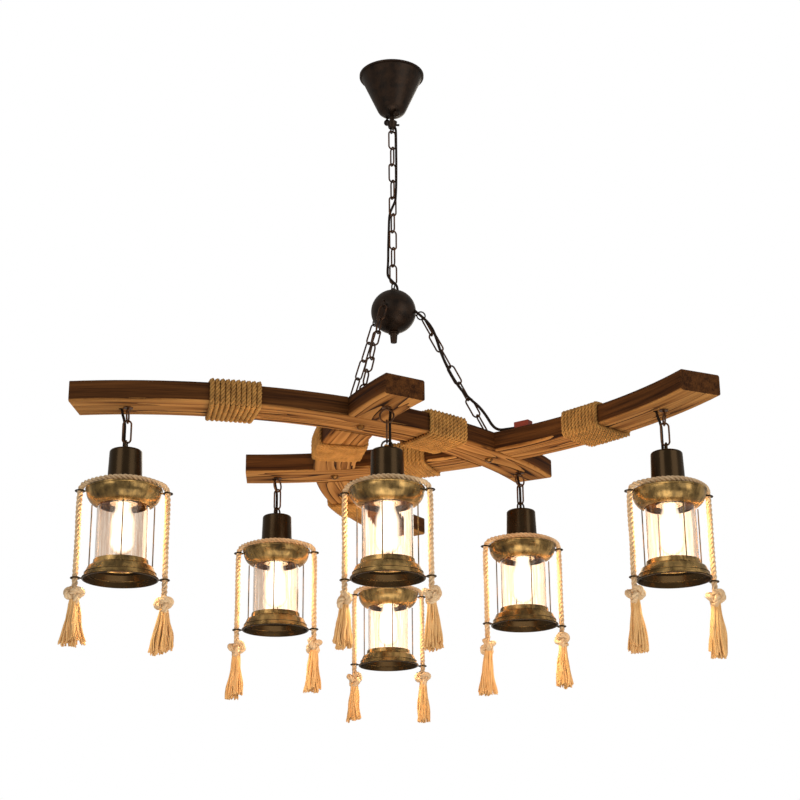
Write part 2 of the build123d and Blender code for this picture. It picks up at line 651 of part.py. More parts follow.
# Lantern pieces, built once about the lantern's own upright axis
def cup_profile(shrink):
    """Outline of the cup and bowl skin moved in by a wall, from the top down to the neck."""
    top = LANTERN_HEIGHT - shrink
    bend = CUP_ROUNDING - shrink
    edge = CUP_TOP_RADIUS - shrink
    lip = DOME_EDGE_HEIGHT - shrink
    bowl = BOWL_RADIUS - shrink
    foot = CUP_LOW_RADIUS - shrink
    middle = bend * (1 - cos(radians(45)))
    return [
        Line((0, top), (edge - bend, top)),
        ThreePointArc((edge - bend, top), (edge - middle, top - middle), (edge, top - bend)),
        Line((edge, top - bend), (foot, CUP_BASE_HEIGHT)),
        Line((foot, CUP_BASE_HEIGHT), (DOME_FOOT_RADIUS - shrink, CUP_BASE_HEIGHT - SHEET - shrink)),
        Line((DOME_FOOT_RADIUS - shrink, CUP_BASE_HEIGHT - SHEET - shrink), (bowl - SHEET, lip)),
        Line((bowl - SHEET, lip), (bowl, BOWL_WIDEST_HEIGHT)),
        ThreePointArc(
            (bowl, BOWL_WIDEST_HEIGHT),
            (BOWL_BULGE_RADIUS - shrink, BOWL_BULGE_HEIGHT),
            (BOWL_NECK_RADIUS - shrink, BOWL_NECK_HEIGHT),
        ),
    ]


def make_cap_body():
    """Spun cup and bowl in one skin, with the rolled bead round the bowl."""
    neck = BOWL_NECK_HEIGHT
    outer = cup_profile(0) + [Line((BOWL_NECK_RADIUS, neck), (0, neck)), Line((0, neck), (0, LANTERN_HEIGHT))]
    inner_neck = BOWL_NECK_RADIUS - SHEET
    below = neck - OVERRUN
    inner = cup_profile(SHEET)
    inner += [Line((inner_neck, neck), (inner_neck, below)), Line((inner_neck, below), (0, below))]
    inner += [Line((0, below), (0, LANTERN_HEIGHT - SHEET))]
    body = revolve(Plane.XZ * make_face(Curve() + outer), axis=Axis.Z)
    body -= revolve(Plane.XZ * make_face(Curve() + inner), axis=Axis.Z)
    bead = Pos(0, 0, DOME_EDGE_HEIGHT - BOWL_BEAD) * Torus(BOWL_RADIUS, BOWL_BEAD)
    return body + bead


def arm_ring(radius, height):
    """Short wire arm with a loop for the rope on each side."""
    arms = []
    for side in (-1, 1):
        start, end = side * (radius - SHEET), side * (ARM_LOOP_OUT - ARM_LOOP_RADIUS)
        loop = Pos(side * ARM_LOOP_OUT, 0, height) * Torus(ARM_LOOP_RADIUS, ARM_WIRE / 2)
        arms.append(loop + rod((start, 0, height), (end, 0, height), ARM_WIRE / 2))
    return arms


def make_base():
    """Spun base ring with its ledge, guard wires and lower rope arm."""
    wall = SHEET
    outline = [
        (BASE_RIM_RADIUS, 0),
        (BASE_STEP_RADIUS, BASE_STEP_HEIGHT),
        (BASE_SHOULDER_RADIUS, BASE_SHOULDER_HEIGHT),
        (BASE_NECK_RADIUS + wall, BASE_SHOULDER_HEIGHT + wall * 3),
        (BASE_NECK_RADIUS, BASE_NECK_HEIGHT),
        (BASE_NECK_RADIUS - wall, BASE_NECK_HEIGHT),
        (BASE_NECK_RADIUS - wall, BASE_LEDGE_HEIGHT),
        (BASE_LEDGE_RADIUS, BASE_LEDGE_HEIGHT),
        (BASE_LEDGE_RADIUS, BASE_LEDGE_HEIGHT - wall),
        (BASE_SHOULDER_RADIUS - wall * 2, BASE_SHOULDER_HEIGHT - wall),
        (BASE_STEP_RADIUS - wall, BASE_STEP_HEIGHT - wall),
        (BASE_RIM_RADIUS - wall, 0),
    ]
    body = revolve_profile(outline)
    body += Pos(0, 0, BASE_RIM_BEAD) * Torus(BASE_RIM_RADIUS, BASE_RIM_BEAD)
    body += Pos(0, 0, BASE_STEP_HEIGHT) * Torus(BASE_STEP_RADIUS - BASE_RIM_BEAD / 2, BASE_RIM_BEAD)
    for arm in arm_ring(BASE_RIM_RADIUS, LOW_ARM_HEIGHT + BASE_RIM_BEAD):
        body += arm
    for number in range(GUARD_COUNT):
        angle = radians(360 / GUARD_COUNT * number)
        x, y = GUARD_RADIUS * cos(angle), GUARD_RADIUS * sin(angle)
        body += post(x, y, BASE_SHOULDER_HEIGHT, GUARD_TOP, GUARD_WIRE / 2)
    return body


# Guard wires stop just under the bowl's flank
GUARD_TOP = BOWL_NECK_HEIGHT + SHEET


def make_glass():
    """Open glass cylinder between base and bowl."""
    tall = GLASS_TOP - GLASS_LOW
    tube = Cylinder(GLASS_RADIUS, tall, align=RISE) - Cylinder(GLASS_RADIUS - GLASS_WALL, tall, align=RISE)
    return Pos(0, 0, GLASS_LOW) * tube


def make_lampholder(eye_turn):
    """Lampholder under a plate on two posts, with a bore for the bulb's cap."""
    plate_top = LANTERN_HEIGHT - SHEET
    plate_low = plate_top - HOLDER_PLATE
    body = post(0, 0, HOLDER_STEP, HOLDER_TOP, HOLDER_RADIUS)
    body += post(0, 0, HOLDER_LOW, HOLDER_STEP, HOLDER_SKIRT_RADIUS)
    body -= post(0, 0, HOLDER_LOW - OVERRUN, HOLDER_LOW + HOLDER_BORE_DEPTH, HOLDER_BORE_RADIUS)
    plate = post(0, 0, plate_low, plate_top, HOLDER_PLATE_RADIUS - SHEET)
    for side in (-1, 1):
        turn = radians(eye_turn - 45)
        x, y = side * HOLDER_POST_OFFSET * cos(turn), side * HOLDER_POST_OFFSET * sin(turn)
        body += post(x, y, HOLDER_TOP - HOLDER_PLATE, plate_top - HOLDER_PLATE / 2, HOLDER_POST_DIAMETER / 2)
    body += plate
    hole = cord_place(eye_turn)
    return body - post(hole.X, hole.Y, plate_low - OVERRUN / 2, plate_top + OVERRUN, CUP_CORD_HOLE_RADIUS)


def cord_place(eye_turn):
    """Plan place of the drop cord beside the link, from the lantern's axis."""
    eye = upright(0, 0, eye_turn)
    return eye.x_dir * CUP_CORD_OFFSET - eye.z_dir * CUP_CORD_OFFSET


def make_bulb():
    """Long bulb with its screw cap."""
    cap = post(0, 0, BULB_CAP_LOW, BULB_CAP_LOW + BULB_CAP_LENGTH, BULB_CAP_RADIUS)
    waist = BULB_CAP_LOW - BULB_RADIUS
    tip = BULB_LOW
    flank = tip + BULB_RADIUS
    lines = [
        Line((0, BULB_CAP_LOW), (BULB_NECK_RADIUS, BULB_CAP_LOW)),
        Spline((BULB_NECK_RADIUS, BULB_CAP_LOW), (BULB_RADIUS, waist - BULB_NECK_RADIUS), tangents=[(0, -1), (0, -1)]),
        Line((BULB_RADIUS, waist - BULB_NECK_RADIUS), (BULB_RADIUS, flank)),
        ThreePointArc((BULB_RADIUS, flank), (BULB_RADIUS * cos(radians(45)), flank - BULB_RADIUS * sin(radians(45))), (0, tip)),
        Line((0, tip), (0, BULB_CAP_LOW)),
    ]
    return revolve(Plane.XZ * make_face(Curve() + lines), axis=Axis.Z) + cap


def rope_route():
    """Route of the lantern rope from one knot over the crown to the other."""
    right = [(ARM_LOOP_OUT, 0, KNOT_TOP)]
    swing = 1
    for height in reversed(SWAY_HEIGHTS):
        right.append((ARM_LOOP_OUT + SWAY * swing / 2, SWAY * swing / 3, height))
        swing = -swing
    right.append((ARM_LOOP_OUT, 0, SHOULDER_HEIGHT))
    right.append((SHOULDER_OUT, SHOULDER_FRONT, SHOULDER_HEIGHT))
    left = [(-x, y, z) for x, y, z in reversed(right)]
    return right + [(0, CROWN_FRONT, FRONT_HEIGHT)] + left


def make_lantern_rope():
    """Rope over the crown with a knot and a tassel at each end."""
    route = rope_route()
    shoulder = len(SWAY_HEIGHTS) + 1
    far = len(route) - 1 - shoulder
    pieces = [cord("lantern_rope", route, ROPE_DIAMETER, {shoulder: SHOULDER_BEND, far: SHOULDER_BEND})]
    knot_low = KNOT_TOP - KNOT_HEIGHT
    middle = KNOT_TOP - KNOT_HEIGHT / 2
    for side in (-1, 1):
        knot_lines = [
            Line((0, KNOT_TOP), (ROPE_DIAMETER / 2, KNOT_TOP)),
            ThreePointArc((ROPE_DIAMETER / 2, KNOT_TOP), (KNOT_RADIUS, middle), (ROPE_DIAMETER / 2, knot_low)),
            Line((ROPE_DIAMETER / 2, knot_low), (0, knot_low)),
            Line((0, knot_low), (0, KNOT_TOP)),
        ]
        place = Pos(side * ARM_LOOP_OUT, 0, 0)
        pieces.append(place * revolve(Plane.XZ * make_face(Curve() + knot_lines), axis=Axis.Z))
        tassel = [(0, knot_low), (TASSEL_TOP_RADIUS, knot_low), (TASSEL_LOW_RADIUS, TASSEL_LOW), (0, TASSEL_LOW)]
        pieces.append(place * revolve_profile(tassel))
    return pieces


def make_hanger(number):
    """Link between screw eye and lantern with the drop cord beside it."""
    beam, along, _, eye_turn = LANTERNS[number]
    place = arc_point(beam, along, 0, 0)
    eye = upright(place.X, place.Y, eye_turn)
    middle = place + Vector(0, 0, (LINK_TOP_WIRE + LINK_LOW_WIRE) / 2)
    link = chain_link(Plane(origin=middle, x_dir=(0, 0, 1), z_dir=eye.x_dir))
    foot = place + cord_place(eye_turn)
    clear = BEAM_LOW - CORD_DIAMETER
    top = place + eye.x_dir * CORD_HOLE_OFFSET / 2 - eye.z_dir * (CORD_HOLE_OFFSET - SHEET)
    route = [
        top + Vector(0, 0, clear),
        foot + Vector(0, 0, EYE_LOW_WIRE),
        foot + Vector(0, 0, CUP_TOP) + eye.x_dir * SHEET / 2,
    ]
    return link, cord(f"drop_cord_{number}", route, CORD_DIAMETER)


def placed(number, shape):
    """Move a lantern piece from its own frame to its place and turn."""
    beam, along, turn, _ = LANTERNS[number]
    place = arc_point(beam, along, 0, LANTERN_BASE)
    return Pos(place.X, place.Y, place.Z) * Rot(0, 0, turn) * shape


def make_lanterns():
    """Export the seven parts of every lantern."""
    cap, base, glass, bulb = make_cap_body(), make_base(), make_glass(), make_bulb()
    for arm in arm_ring(BOWL_RADIUS, TOP_ARM_HEIGHT):
        cap += arm
    rope = make_lantern_rope()
    for number, (_, _, turn, eye_turn) in LANTERNS.items():
        own_turn = eye_turn - turn
        bend = LANTERN_HEIGHT + ARCH_LEG
        arch = upright(0, 0, own_turn, bend) * Torus(ARCH_RADIUS, ARCH_WIRE / 2)
        arch -= Box(BOWL_RADIUS, BOWL_RADIUS, bend, align=RISE)
        for foot in (-ARCH_RADIUS, ARCH_RADIUS):
            x, y = foot * cos(radians(own_turn)), foot * sin(radians(own_turn))
            arch += post(x, y, LANTERN_HEIGHT - SHEET / 2, bend, ARCH_WIRE / 2)
        hole = cord_place(own_turn)
        cut = post(hole.X, hole.Y, LANTERN_HEIGHT - OVERRUN, LANTERN_HEIGHT + OVERRUN / 2, CUP_CORD_HOLE_RADIUS)
        whole = (cap - cut) + arch
        export(f"lantern_{number}_cap", placed(number, whole))
        export(f"lantern_{number}_lampholder", placed(number, make_lampholder(own_turn)))
        export(f"lantern_{number}_bulb", placed(number, bulb))
        export(f"lantern_{number}_glass", placed(number, glass))
        export(f"lantern_{number}_base", placed(number, base))
        export(f"lantern_{number}_rope", *[placed(number, piece) for piece in rope])
        export(f"hanger_{number}", *make_hanger(number))


# Routes of the two cords: distances from the main chain's axis along and across its odd links
SUPPLY_LACING = [
    (6.0, -4.2, -113.3),
    (6.2, -4.1, -134.0),
    (6.0, -4.5, -160.0),
    (6.2, -4.1, -192.0),
    (5.4, -4.7, -230.0),
    (4.3, -4.5, -251.0),
    (3.6, -4.4, -260.5),
    (-0.1, 0.1, -271.5),
    (-3.8, 4.5, -283.5),
    (-5.4, 4.4, -296.0),
    (-6.3, 4.05, -318.0),
    (-7.2, 4.8, -350.0),
    (-7.6, 4.6, -380.0),
    (-9.6, 4.0, -400.0),
    (-11.0, -1.4, -412.0),
    (-8.0, -8.4, -421.0),
    (-3.0, -12.2, -428.0),
    (1.6, -13.6, -433.4),
]
FEED_ROUTE = [
    (36.3, -12.6, -480.4),
    (53.9, -13.0, -495.2),
    (66.9, -13.4, -512.5),
    (74.5, -13.0, -531.5),
    (81.9, -12.6, -559.0),
    (94.5, -13.2, -591.8),
    (107.2, -13.0, -616.1),
    (119.9, -13.4, -634.8),
    (133.0, -13.0, -649.0),
    (146.4, -12.8, -660.8),
    (158.6, -13.2, -677.6),
    (170.0, -13.8, -699.0),
    (180.5, -16.4, -706.4),
    (193.5, -20.6, -706.3),
    (207.2, -26.4, -706.4),
]


def supply_route():
    """Lacing of the supply cord in plan and height."""
    turn = radians(MAIN_CHAIN_TURN)
    route = []
    for along, across, height in SUPPLY_LACING:
        route.append((along * cos(turn) - across * sin(turn), along * sin(turn) + across * cos(turn), height))
    return route


def main():
    """Build and export every part."""
    print("beam top", round(BEAM_TOP, 2), "cup top", round(CUP_TOP, 2), "lantern base", round(LANTERN_BASE, 2))
    print("crossing", round(CROSS_RADIUS, 2), round(CROSS_AZIMUTH, 2), "ball ring", round(BALL_RING_DEPTH, 2))
    export("ceiling_bracket", make_bracket())
    export("canopy", make_canopy())
    export("canopy_fixings", *make_canopy_fixings())
    export("hang_stem", make_stem())
    export("hang_loop", make_hang_loop())
    export("main_chain", *make_main_chain())
    export("supply_cord", make_supply_cord())
    export("ball_shell", make_ball())
    export("ball_fittings", *make_ball_fittings())
    export("support_chains", *make_support_chains())
    export("beam_left", make_beam(0, [(1, True), (2, True)]))
    export("beam_right", make_beam(1, [(0, False), (2, True)]))
    export("beam_back", make_beam(2, [(0, False), (1, False)]))
    export("eye_bolts", *make_eye_bolts())
    export("rope_wraps", *make_rope_wraps())
    export("screw_eyes", *make_screw_eyes())
    export("feed_cord", cord("feed_cord", FEED_ROUTE, FEED_DIAMETER))
    export("terminal_block", make_terminal_block())
    make_lanterns()


main()
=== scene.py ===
"""Looks, ropes, cords and studio of a rustic pendant with six glass lanterns under crossed timber arcs."""

from __future__ import annotations

import logging
import math
import random
from dataclasses import dataclass, field
from enum import Enum
from typing import Sequence

import bpy
import numpy as np
from mathutils import Matrix, Vector

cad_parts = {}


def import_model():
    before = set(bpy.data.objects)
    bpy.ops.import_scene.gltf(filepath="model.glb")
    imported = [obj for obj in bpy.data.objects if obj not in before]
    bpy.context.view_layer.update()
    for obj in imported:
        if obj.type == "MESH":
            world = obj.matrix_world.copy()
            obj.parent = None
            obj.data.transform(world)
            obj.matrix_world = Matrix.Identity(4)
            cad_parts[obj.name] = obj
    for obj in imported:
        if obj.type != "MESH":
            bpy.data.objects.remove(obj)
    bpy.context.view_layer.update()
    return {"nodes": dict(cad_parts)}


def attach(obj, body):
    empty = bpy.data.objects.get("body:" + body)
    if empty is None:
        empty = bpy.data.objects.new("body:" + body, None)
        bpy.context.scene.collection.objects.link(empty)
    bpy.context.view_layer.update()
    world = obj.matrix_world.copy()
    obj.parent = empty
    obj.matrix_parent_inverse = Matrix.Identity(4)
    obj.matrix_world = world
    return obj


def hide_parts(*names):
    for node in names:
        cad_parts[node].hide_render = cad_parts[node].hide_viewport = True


LOG = logging.getLogger("pendant")
MM = 0.001
ARMS = 3
ARM_STEP = 120
LEAST_GAP = 1e-7
Material, Node, Socket = bpy.types.Material, bpy.types.Node, bpy.types.NodeSocket
Outputs, Thing = bpy.types.NodeOutputs, bpy.types.Object
Triple = tuple[float, float, float]
Point = Sequence[float]


class Slot(Enum):
    """Names of four material slots, which no piece in this script takes."""

    CORD = "cord"
    BEAM_ROPE = "beam_rope"
    LANTERN_ROPE = "lantern_rope"
    ANTIQUE_METAL = "antique_metal"


@dataclass(frozen=True)
class Plan:
    """Plan and heights shared by the timber arcs and the lanterns, in millimetres."""

    arc_radius: float = 782.0
    centre_distance: float = 685.1
    centre_azimuth: float = 130.69
    beam_width: float = 74.0
    beam_top: float = -709.36
    beam_low: float = -743.36
    eye_low_wire: float = -768.86
    link_low_wire: float = -802.56
    cup_top: float = -814.76
    lantern_base: float = -1021.76

    def beam_point(self, arm: int, along: float, across: float, height: float) -> Vector:
        """Point of one timber arc.

        Args:
            arm: Number of the arc, from 0.
            along: Distance along the centreline from its middle.
            across: Distance out from the centreline.
            height: Height in the frame.

        Returns:
            The point, in millimetres.
        """
        centre = math.radians(self.centre_azimuth + ARM_STEP * arm)
        angle = centre + math.pi + along / self.arc_radius
        radius = self.arc_radius + across
        x = self.centre_distance * math.cos(centre) + radius * math.cos(angle)
        y = self.centre_distance * math.sin(centre) + radius * math.sin(angle)
        return Vector((x, y, height))


@dataclass(frozen=True)
class Place:
    """Where one lantern hangs and how it is turned."""

    number: int
    arm: int
    along: float
    turn: float
    eye_turn: float

    def point(self, height: float = 0.0) -> Vector:
        """Point on the lantern's own axis.

        Args:
            height: Height in the frame, in millimetres.

        Returns:
            The point, in millimetres.
        """
        return PLAN.beam_point(self.arm, self.along, 0, height)


PLAN = Plan()
PLACES = (
    Place(1, 0, -528.3, 9.0, 90.0),
    Place(2, 1, 249.0, 0.0, 60.0),
    Place(3, 2, 249.0, -9.0, 0.0),
    Place(4, 2, -528.3, 10.0, 30.0),
    Place(5, 0, 249.0, 13.0, 45.0),
    Place(6, 1, -519.0, 16.0, 90.0),
)


class Tree:
    """Small builder for the nodes of one material."""

    def __init__(self, name: str) -> None:
        """Start an empty material.

        Args:
            name: Name of the material.
        """
        self.material = bpy.data.materials.new(name)
        self.material.use_nodes = True
        self.nodes = self.material.node_tree.nodes
        self.links = self.material.node_tree.links
        self.nodes.clear()
        self.output = self.nodes.new("ShaderNodeOutputMaterial")
        self.coordinates = self.nodes.new("ShaderNodeTexCoord").outputs["Object"]

    def add(self, kind: str, settings: dict | None = None, **inputs: object) -> Node:
        """Add one node and feed its inputs.

        Args:
            kind: Blender's type of the node.
            settings: Values of the node's own properties.
            **inputs: Socket or value for each input, by its name or i and its number.

        Returns:
            The new node.
        """
        node = self.nodes.new(kind)
        for key, value in (settings or {}).items():
            setattr(node, key, value)
        for key, value in inputs.items():
            numbered = key[0] == "i" and key[1:].isdigit()
            socket = node.inputs[int(key[1:]) if numbered else key.replace("_", " ")]
            if isinstance(value, Socket):
                self.links.new(value, socket)
            else:
                socket.default_value = value
        return node

    def noise(
        self, vector: object, scale: float, detail: float = 4.0, rough: float = 0.5, distortion: float = 0.0
    ) -> Socket:
        """Noise over a vector.

        Args:
            vector: Coordinates that the noise runs over.
            scale: Scale of the noise.
            detail: Number of finer layers.
            rough: Weight of the finer layers.
            distortion: How far the noise is bent by itself.

        Returns:
            The factor socket.
        """
        node = self.add(
            "ShaderNodeTexNoise", Vector=vector, Scale=scale, Detail=detail, Roughness=rough,
            Distortion=distortion,
        )
        return node.outputs["Fac"]

    def vector(self, operation: str, first: object, second: object) -> Node:
        """Sum of two vectors.

        Args:
            operation: Blender's name of the sum.
            first: First vector.
            second: Second vector.

        Returns:
            The node.
        """
        return self.add("ShaderNodeVectorMath", {"operation": operation}, i0=first, i1=second)

    def math(self, operation: str, first: object, second: object = 0.0, clamp: bool = False) -> Socket:
        """Result of one sum.

        Args:
            operation: Blender's name of the sum.
            first: First value.
            second: Second value.
            clamp: Whether the result is held between 0 and 1.

        Returns:
            The value socket.
        """
        node = self.add("ShaderNodeMath", {"operation": operation, "use_clamp": clamp}, i0=first, i1=second)
        return node.outputs[0]

    def weighted(self, *parts: tuple[object, float]) -> Socket:
        """Sum of values by their weights.

        Args:
            *parts: Each value with its weight.

        Returns:
            The value socket.
        """
        shares = [self.math("MULTIPLY", value, weight) for value, weight in parts]
        total = shares[0]
        for share in shares[1:]:
            total = self.math("ADD", total, share)
        return total

    def between(self, value: object, low: float, high: float) -> Socket:
        """Mask of the values between two limits.

        Args:
            value: Value to test.
            low: Lower limit.
            high: Upper limit.

        Returns:
            The mask socket.
        """
        return self.math("MULTIPLY", self.math("GREATER_THAN", value, low), self.math("LESS_THAN", value, high))

    def split(self, vector: object) -> Outputs:
        """Single coordinates of a vector.

        Args:
            vector: Vector socket.

        Returns:
            Outputs X, Y and Z.
        """
        return self.add("ShaderNodeSeparateXYZ", Vector=vector).outputs

    def radius(self, parts: Outputs) -> Socket:
        """Distance from the upright axis.

        Args:
            parts: Outputs X, Y and Z.

        Returns:
            The value socket.
        """
        squares = self.math("ADD", self.math("POWER", parts["X"], 2.0), self.math("POWER", parts["Y"], 2.0))
        return self.math("SQRT", squares)

    def lantern(self, place: Place) -> tuple[Socket, Outputs, Socket]:
        """Coordinates that start at the foot of one lantern.

        Args:
            place: The lantern's place.

        Returns:
            The vector, its parts and the angle round the lantern.
        """
        foot = place.point(PLAN.lantern_base) * MM
        local = self.vector("SUBTRACT", self.coordinates, tuple(foot)).outputs[0]
        parts = self.split(local)
        return local, parts, self.math("ARCTAN2", parts["Y"], parts["X"])

    def ramp(self, factor: object, places: Sequence[float], colours: Sequence[Triple]) -> Socket:
        """Colour ramp over a factor.

        Args:
            factor: Socket that runs over the ramp.
            places: Place of each stop.
            colours: Colour of each stop.

        Returns:
            The colour socket.
        """
        node = self.add("ShaderNodeValToRGB", Fac=factor)
        ramp = node.color_ramp
        while len(ramp.elements) < len(places):
            ramp.elements.new(0.5)
        for element, place, colour in zip(ramp.elements, places, colours):
            element.position = place
            element.color = (*colour, 1.0)
        return node.outputs["Color"]

    def blend(self, factor: object, first: object, second: object) -> Socket:
        """Mix of two colours.

        Args:
            factor: Share of the second colour.
            first: Socket or colour.
            second: Socket or colour.

        Returns:
            The colour socket.
        """
        node = self.add("ShaderNodeMix", {"data_type": "RGBA"}, i0=factor)
        for number, value in ((6, first), (7, second)):
            if isinstance(value, Socket):
                self.links.new(value, node.inputs[number])
            else:
                node.inputs[number].default_value = (*value, 1.0)
        return node.outputs[2]

    def bump(self, height: object, strength: float, distance: float) -> Socket:
        """Bump from a height.

        Args:
            height: Height socket.
            strength: Strength of the bump.
            distance: Depth of the bump in metres.

        Returns:
            The normal socket.
        """
        node = self.add("ShaderNodeBump", Height=height, Strength=strength, Distance=distance)
        return node.outputs["Normal"]

    def mix(self, factor: object, first: Node, second: Node) -> Node:
        """Mix of two shaders.

        Args:
            factor: Share of the second shader.
            first: First shader.
            second: Second shader.

        Returns:
            The mix.
        """
        return self.add("ShaderNodeMixShader", i0=factor, i1=first.outputs[0], i2=second.outputs[0])

    def finish(self, shader: Node) -> Material:
        """Close the tree.

        Args:
            shader: Last shader of the tree.

        Returns:
            The material.
        """
        self.links.new(shader.outputs[0], self.output.inputs["Surface"])
        return self.material


@dataclass(frozen=True)
class StainedTimber:
    """Brushed and stained timber whose grain follows one arc, its underside paler: painted light from the bulbs
    below over the real grain.
    """

    arm: int
    stain: Triple = (0.026, 0.0075, 0.0014)
    stain_light: Triple = (0.135, 0.051, 0.0125)
    crack: Triple = (0.024, 0.0085, 0.0025)
    middle: Triple = (0.235, 0.100, 0.026)
    light: Triple = (0.50, 0.255, 0.080)
    lit_underside_stops: Triple = (0.40, 0.475, 0.95)
    stain_stops: tuple[float, float] = (0.38, 0.66)
    sway_scale: Triple = (2.6, 7.0, 7.0)
    ring_scale: Triple = (1.9, 24.0, 24.0)
    fibre_scale: Triple = (9.0, 420.0, 420.0)
    streak_scale: Triple = (4.0, 95.0, 95.0)
    ring_count: float = 6.0
    ring_slope: float = 6.0
    under_slope: float = -1.6
    roughness: float = 0.7
    specular: float = 0.12
    bump_strength: float = 0.6
    bump_depth: float = 0.0012

    def build(self) -> Material:
        """Make the material.

        Returns:
            The material.
        """
        tree = Tree(f"stained_timber_{self.arm + 1}")
        angle = math.radians(PLAN.centre_azimuth + ARM_STEP * self.arm)
        reach = PLAN.centre_distance * MM
        centre = (reach * math.cos(angle), reach * math.sin(angle), 0.0)
        turned = tree.add(
            "ShaderNodeVectorRotate", {"rotation_type": "Z_AXIS"},
            Vector=tree.coordinates, Center=centre, Angle=-(angle + math.pi),
        )
        parts = tree.split(tree.vector("SUBTRACT", turned.outputs[0], centre).outputs[0])
        run = tree.math("MULTIPLY", tree.math("ARCTAN2", parts["Y"], parts["X"]), PLAN.arc_radius * MM)
        across = tree.math("SUBTRACT", tree.radius(parts), PLAN.arc_radius * MM)
        grain = tree.add("ShaderNodeCombineXYZ", X=run, Y=across, Z=parts["Z"]).outputs[0]
        return self.dress(tree, grain)

    def dress(self, tree: Tree, grain: Socket) -> Material:
        """Colour and bump of the timber.

        Args:
            tree: The material's builder.
            grain: Coordinates along, across and up the timber.

        Returns:
            The material.
        """
        stretched = [
            tree.vector("MULTIPLY", grain, scale).outputs[0]
            for scale in (self.sway_scale, self.ring_scale, self.fibre_scale, self.streak_scale)
        ]
        sway = tree.noise(stretched[0], 1.0, 2.0)
        wide = tree.noise(stretched[1], 1.0, 2.0, distortion=0.5)
        fibre = tree.noise(stretched[2], 1.0, 3.0, 0.6)
        streak = tree.noise(stretched[3], 1.0, 4.0, 0.6)
        rings = tree.math("MULTIPLY", tree.weighted((wide, 1.0), (sway, 0.7)), self.ring_count)
        rings = tree.math("FRACT", rings)
        tone = tree.weighted((rings, 0.62), (streak, 0.75), (tree.math("SUBTRACT", fibre, 0.5), 0.35))
        # Underside grain colours, made paler as painted light from the bulbs below.
        lit_underside = tree.ramp(tone, self.lit_underside_stops, (self.crack, self.middle, self.light))
        dusk = tree.weighted((streak, 0.6), (fibre, 0.4))
        stained = tree.ramp(dusk, self.stain_stops, (self.stain, self.stain_light))
        facing = tree.split(tree.add("ShaderNodeNewGeometry").outputs["Normal"])
        # Faces turned down switch to the paler underside colours: painted light from below.
        under = tree.math("MULTIPLY", facing["Z"], self.under_slope, True)
        groove = tree.math("MULTIPLY", rings, self.ring_slope, True)
        height = tree.weighted((groove, 0.8), (fibre, 0.5))
        return tree.finish(tree.add(
            "ShaderNodeBsdfPrincipled", Base_Color=tree.blend(under, stained, lit_underside), Roughness=self.roughness,
            Specular_IOR_Level=self.specular, Normal=tree.bump(height, self.bump_strength, self.bump_depth),
        ))


@dataclass(frozen=True)
class Coat:
    """Skin of one kind with patches of two colours and a fine bump.

    Patches and fine grain are given as scale, number of layers and weight of the finer layers.
    """

    name: str
    light: Triple
    dark: Triple
    roughness: float
    stops: tuple[float, float] = (0.3, 0.7)
    patch: Triple = (90.0, 4.0, 0.5)
    fine: Triple = (600.0, 2.0, 0.5)
    fine_share: float = 0.0
    rough_spread: float = 0.0
    metallic: float = 0.0
    specular: float = 0.5
    bump_strength: float = 0.1
    bump_depth: float = 0.0003

    def build(self) -> Material:
        """Make the material.

        Returns:
            The material.
        """
        tree = Tree(self.name)
        patch = tree.noise(tree.coordinates, *self.patch)
        fine = tree.noise(tree.coordinates, *self.fine)
        tone = tree.weighted((fine, self.fine_share), (patch, 1.0 - self.fine_share))
        rough = tree.math("MULTIPLY", patch, self.rough_spread)
        return tree.finish(tree.add(
            "ShaderNodeBsdfPrincipled", Base_Color=tree.ramp(tone, self.stops, (self.dark, self.light)),
            Roughness=tree.math("ADD", rough, self.roughness - self.rough_spread / 2),
            Metallic=self.metallic, Specular_IOR_Level=self.specular,
            Normal=tree.bump(fine, self.bump_strength, self.bump_depth),
        ))


def fibre_coat(name: str, light: Triple, dark: Triple) -> Coat:
    """Hemp or cotton with fine fibres.

    Args:
        name: Name of the material.
        light: Colour of the lit fibres, painted light.
        dark: Colour between them, painted shade.

    Returns:
        The coat.
    """
    return Coat(
        name, light, dark, 0.85, stops=(0.32, 0.62), patch=(55.0, 3.0, 0.5), fine=(900.0, 4.0, 0.7),
        fine_share=0.65, bump_strength=0.6, bump_depth=0.0006,
    )


def bronze_coat(name: str, light: Triple, dark: Triple, roughness: float) -> Coat:
    """Dark bronze paint with a slight warm sheen.

    Args:
        name: Name of the material.
        light: Colour of the worn patches.
        dark: Colour of the paint.
        roughness: Middle roughness.

    Returns:
        The coat.
    """
    return Coat(
        name, light, dark, roughness, stops=(0.35, 0.7), patch=(60.0, 5.0, 0.6), fine=(700.0, 3.0, 0.5),
        rough_spread=0.2, metallic=0.55, bump_strength=0.12, bump_depth=0.0004,
    )


def plain_coat(name: str, colour: Triple, roughness: float, metallic: float = 0.0, specular: float = 0.5) -> Coat:
    """Moulded or plated skin with faint mottling.

    Args:
        name: Name of the material.
        colour: Its colour, which the patches darken a little.
        roughness: Roughness.
        metallic: 1 for uncoated metal.
        specular: Strength of its gloss.

    Returns:
        The coat.
    """
    shade = tuple(0.7 * part for part in colour)
    return Coat(name, colour, shade, roughness, metallic=metallic, specular=specular)


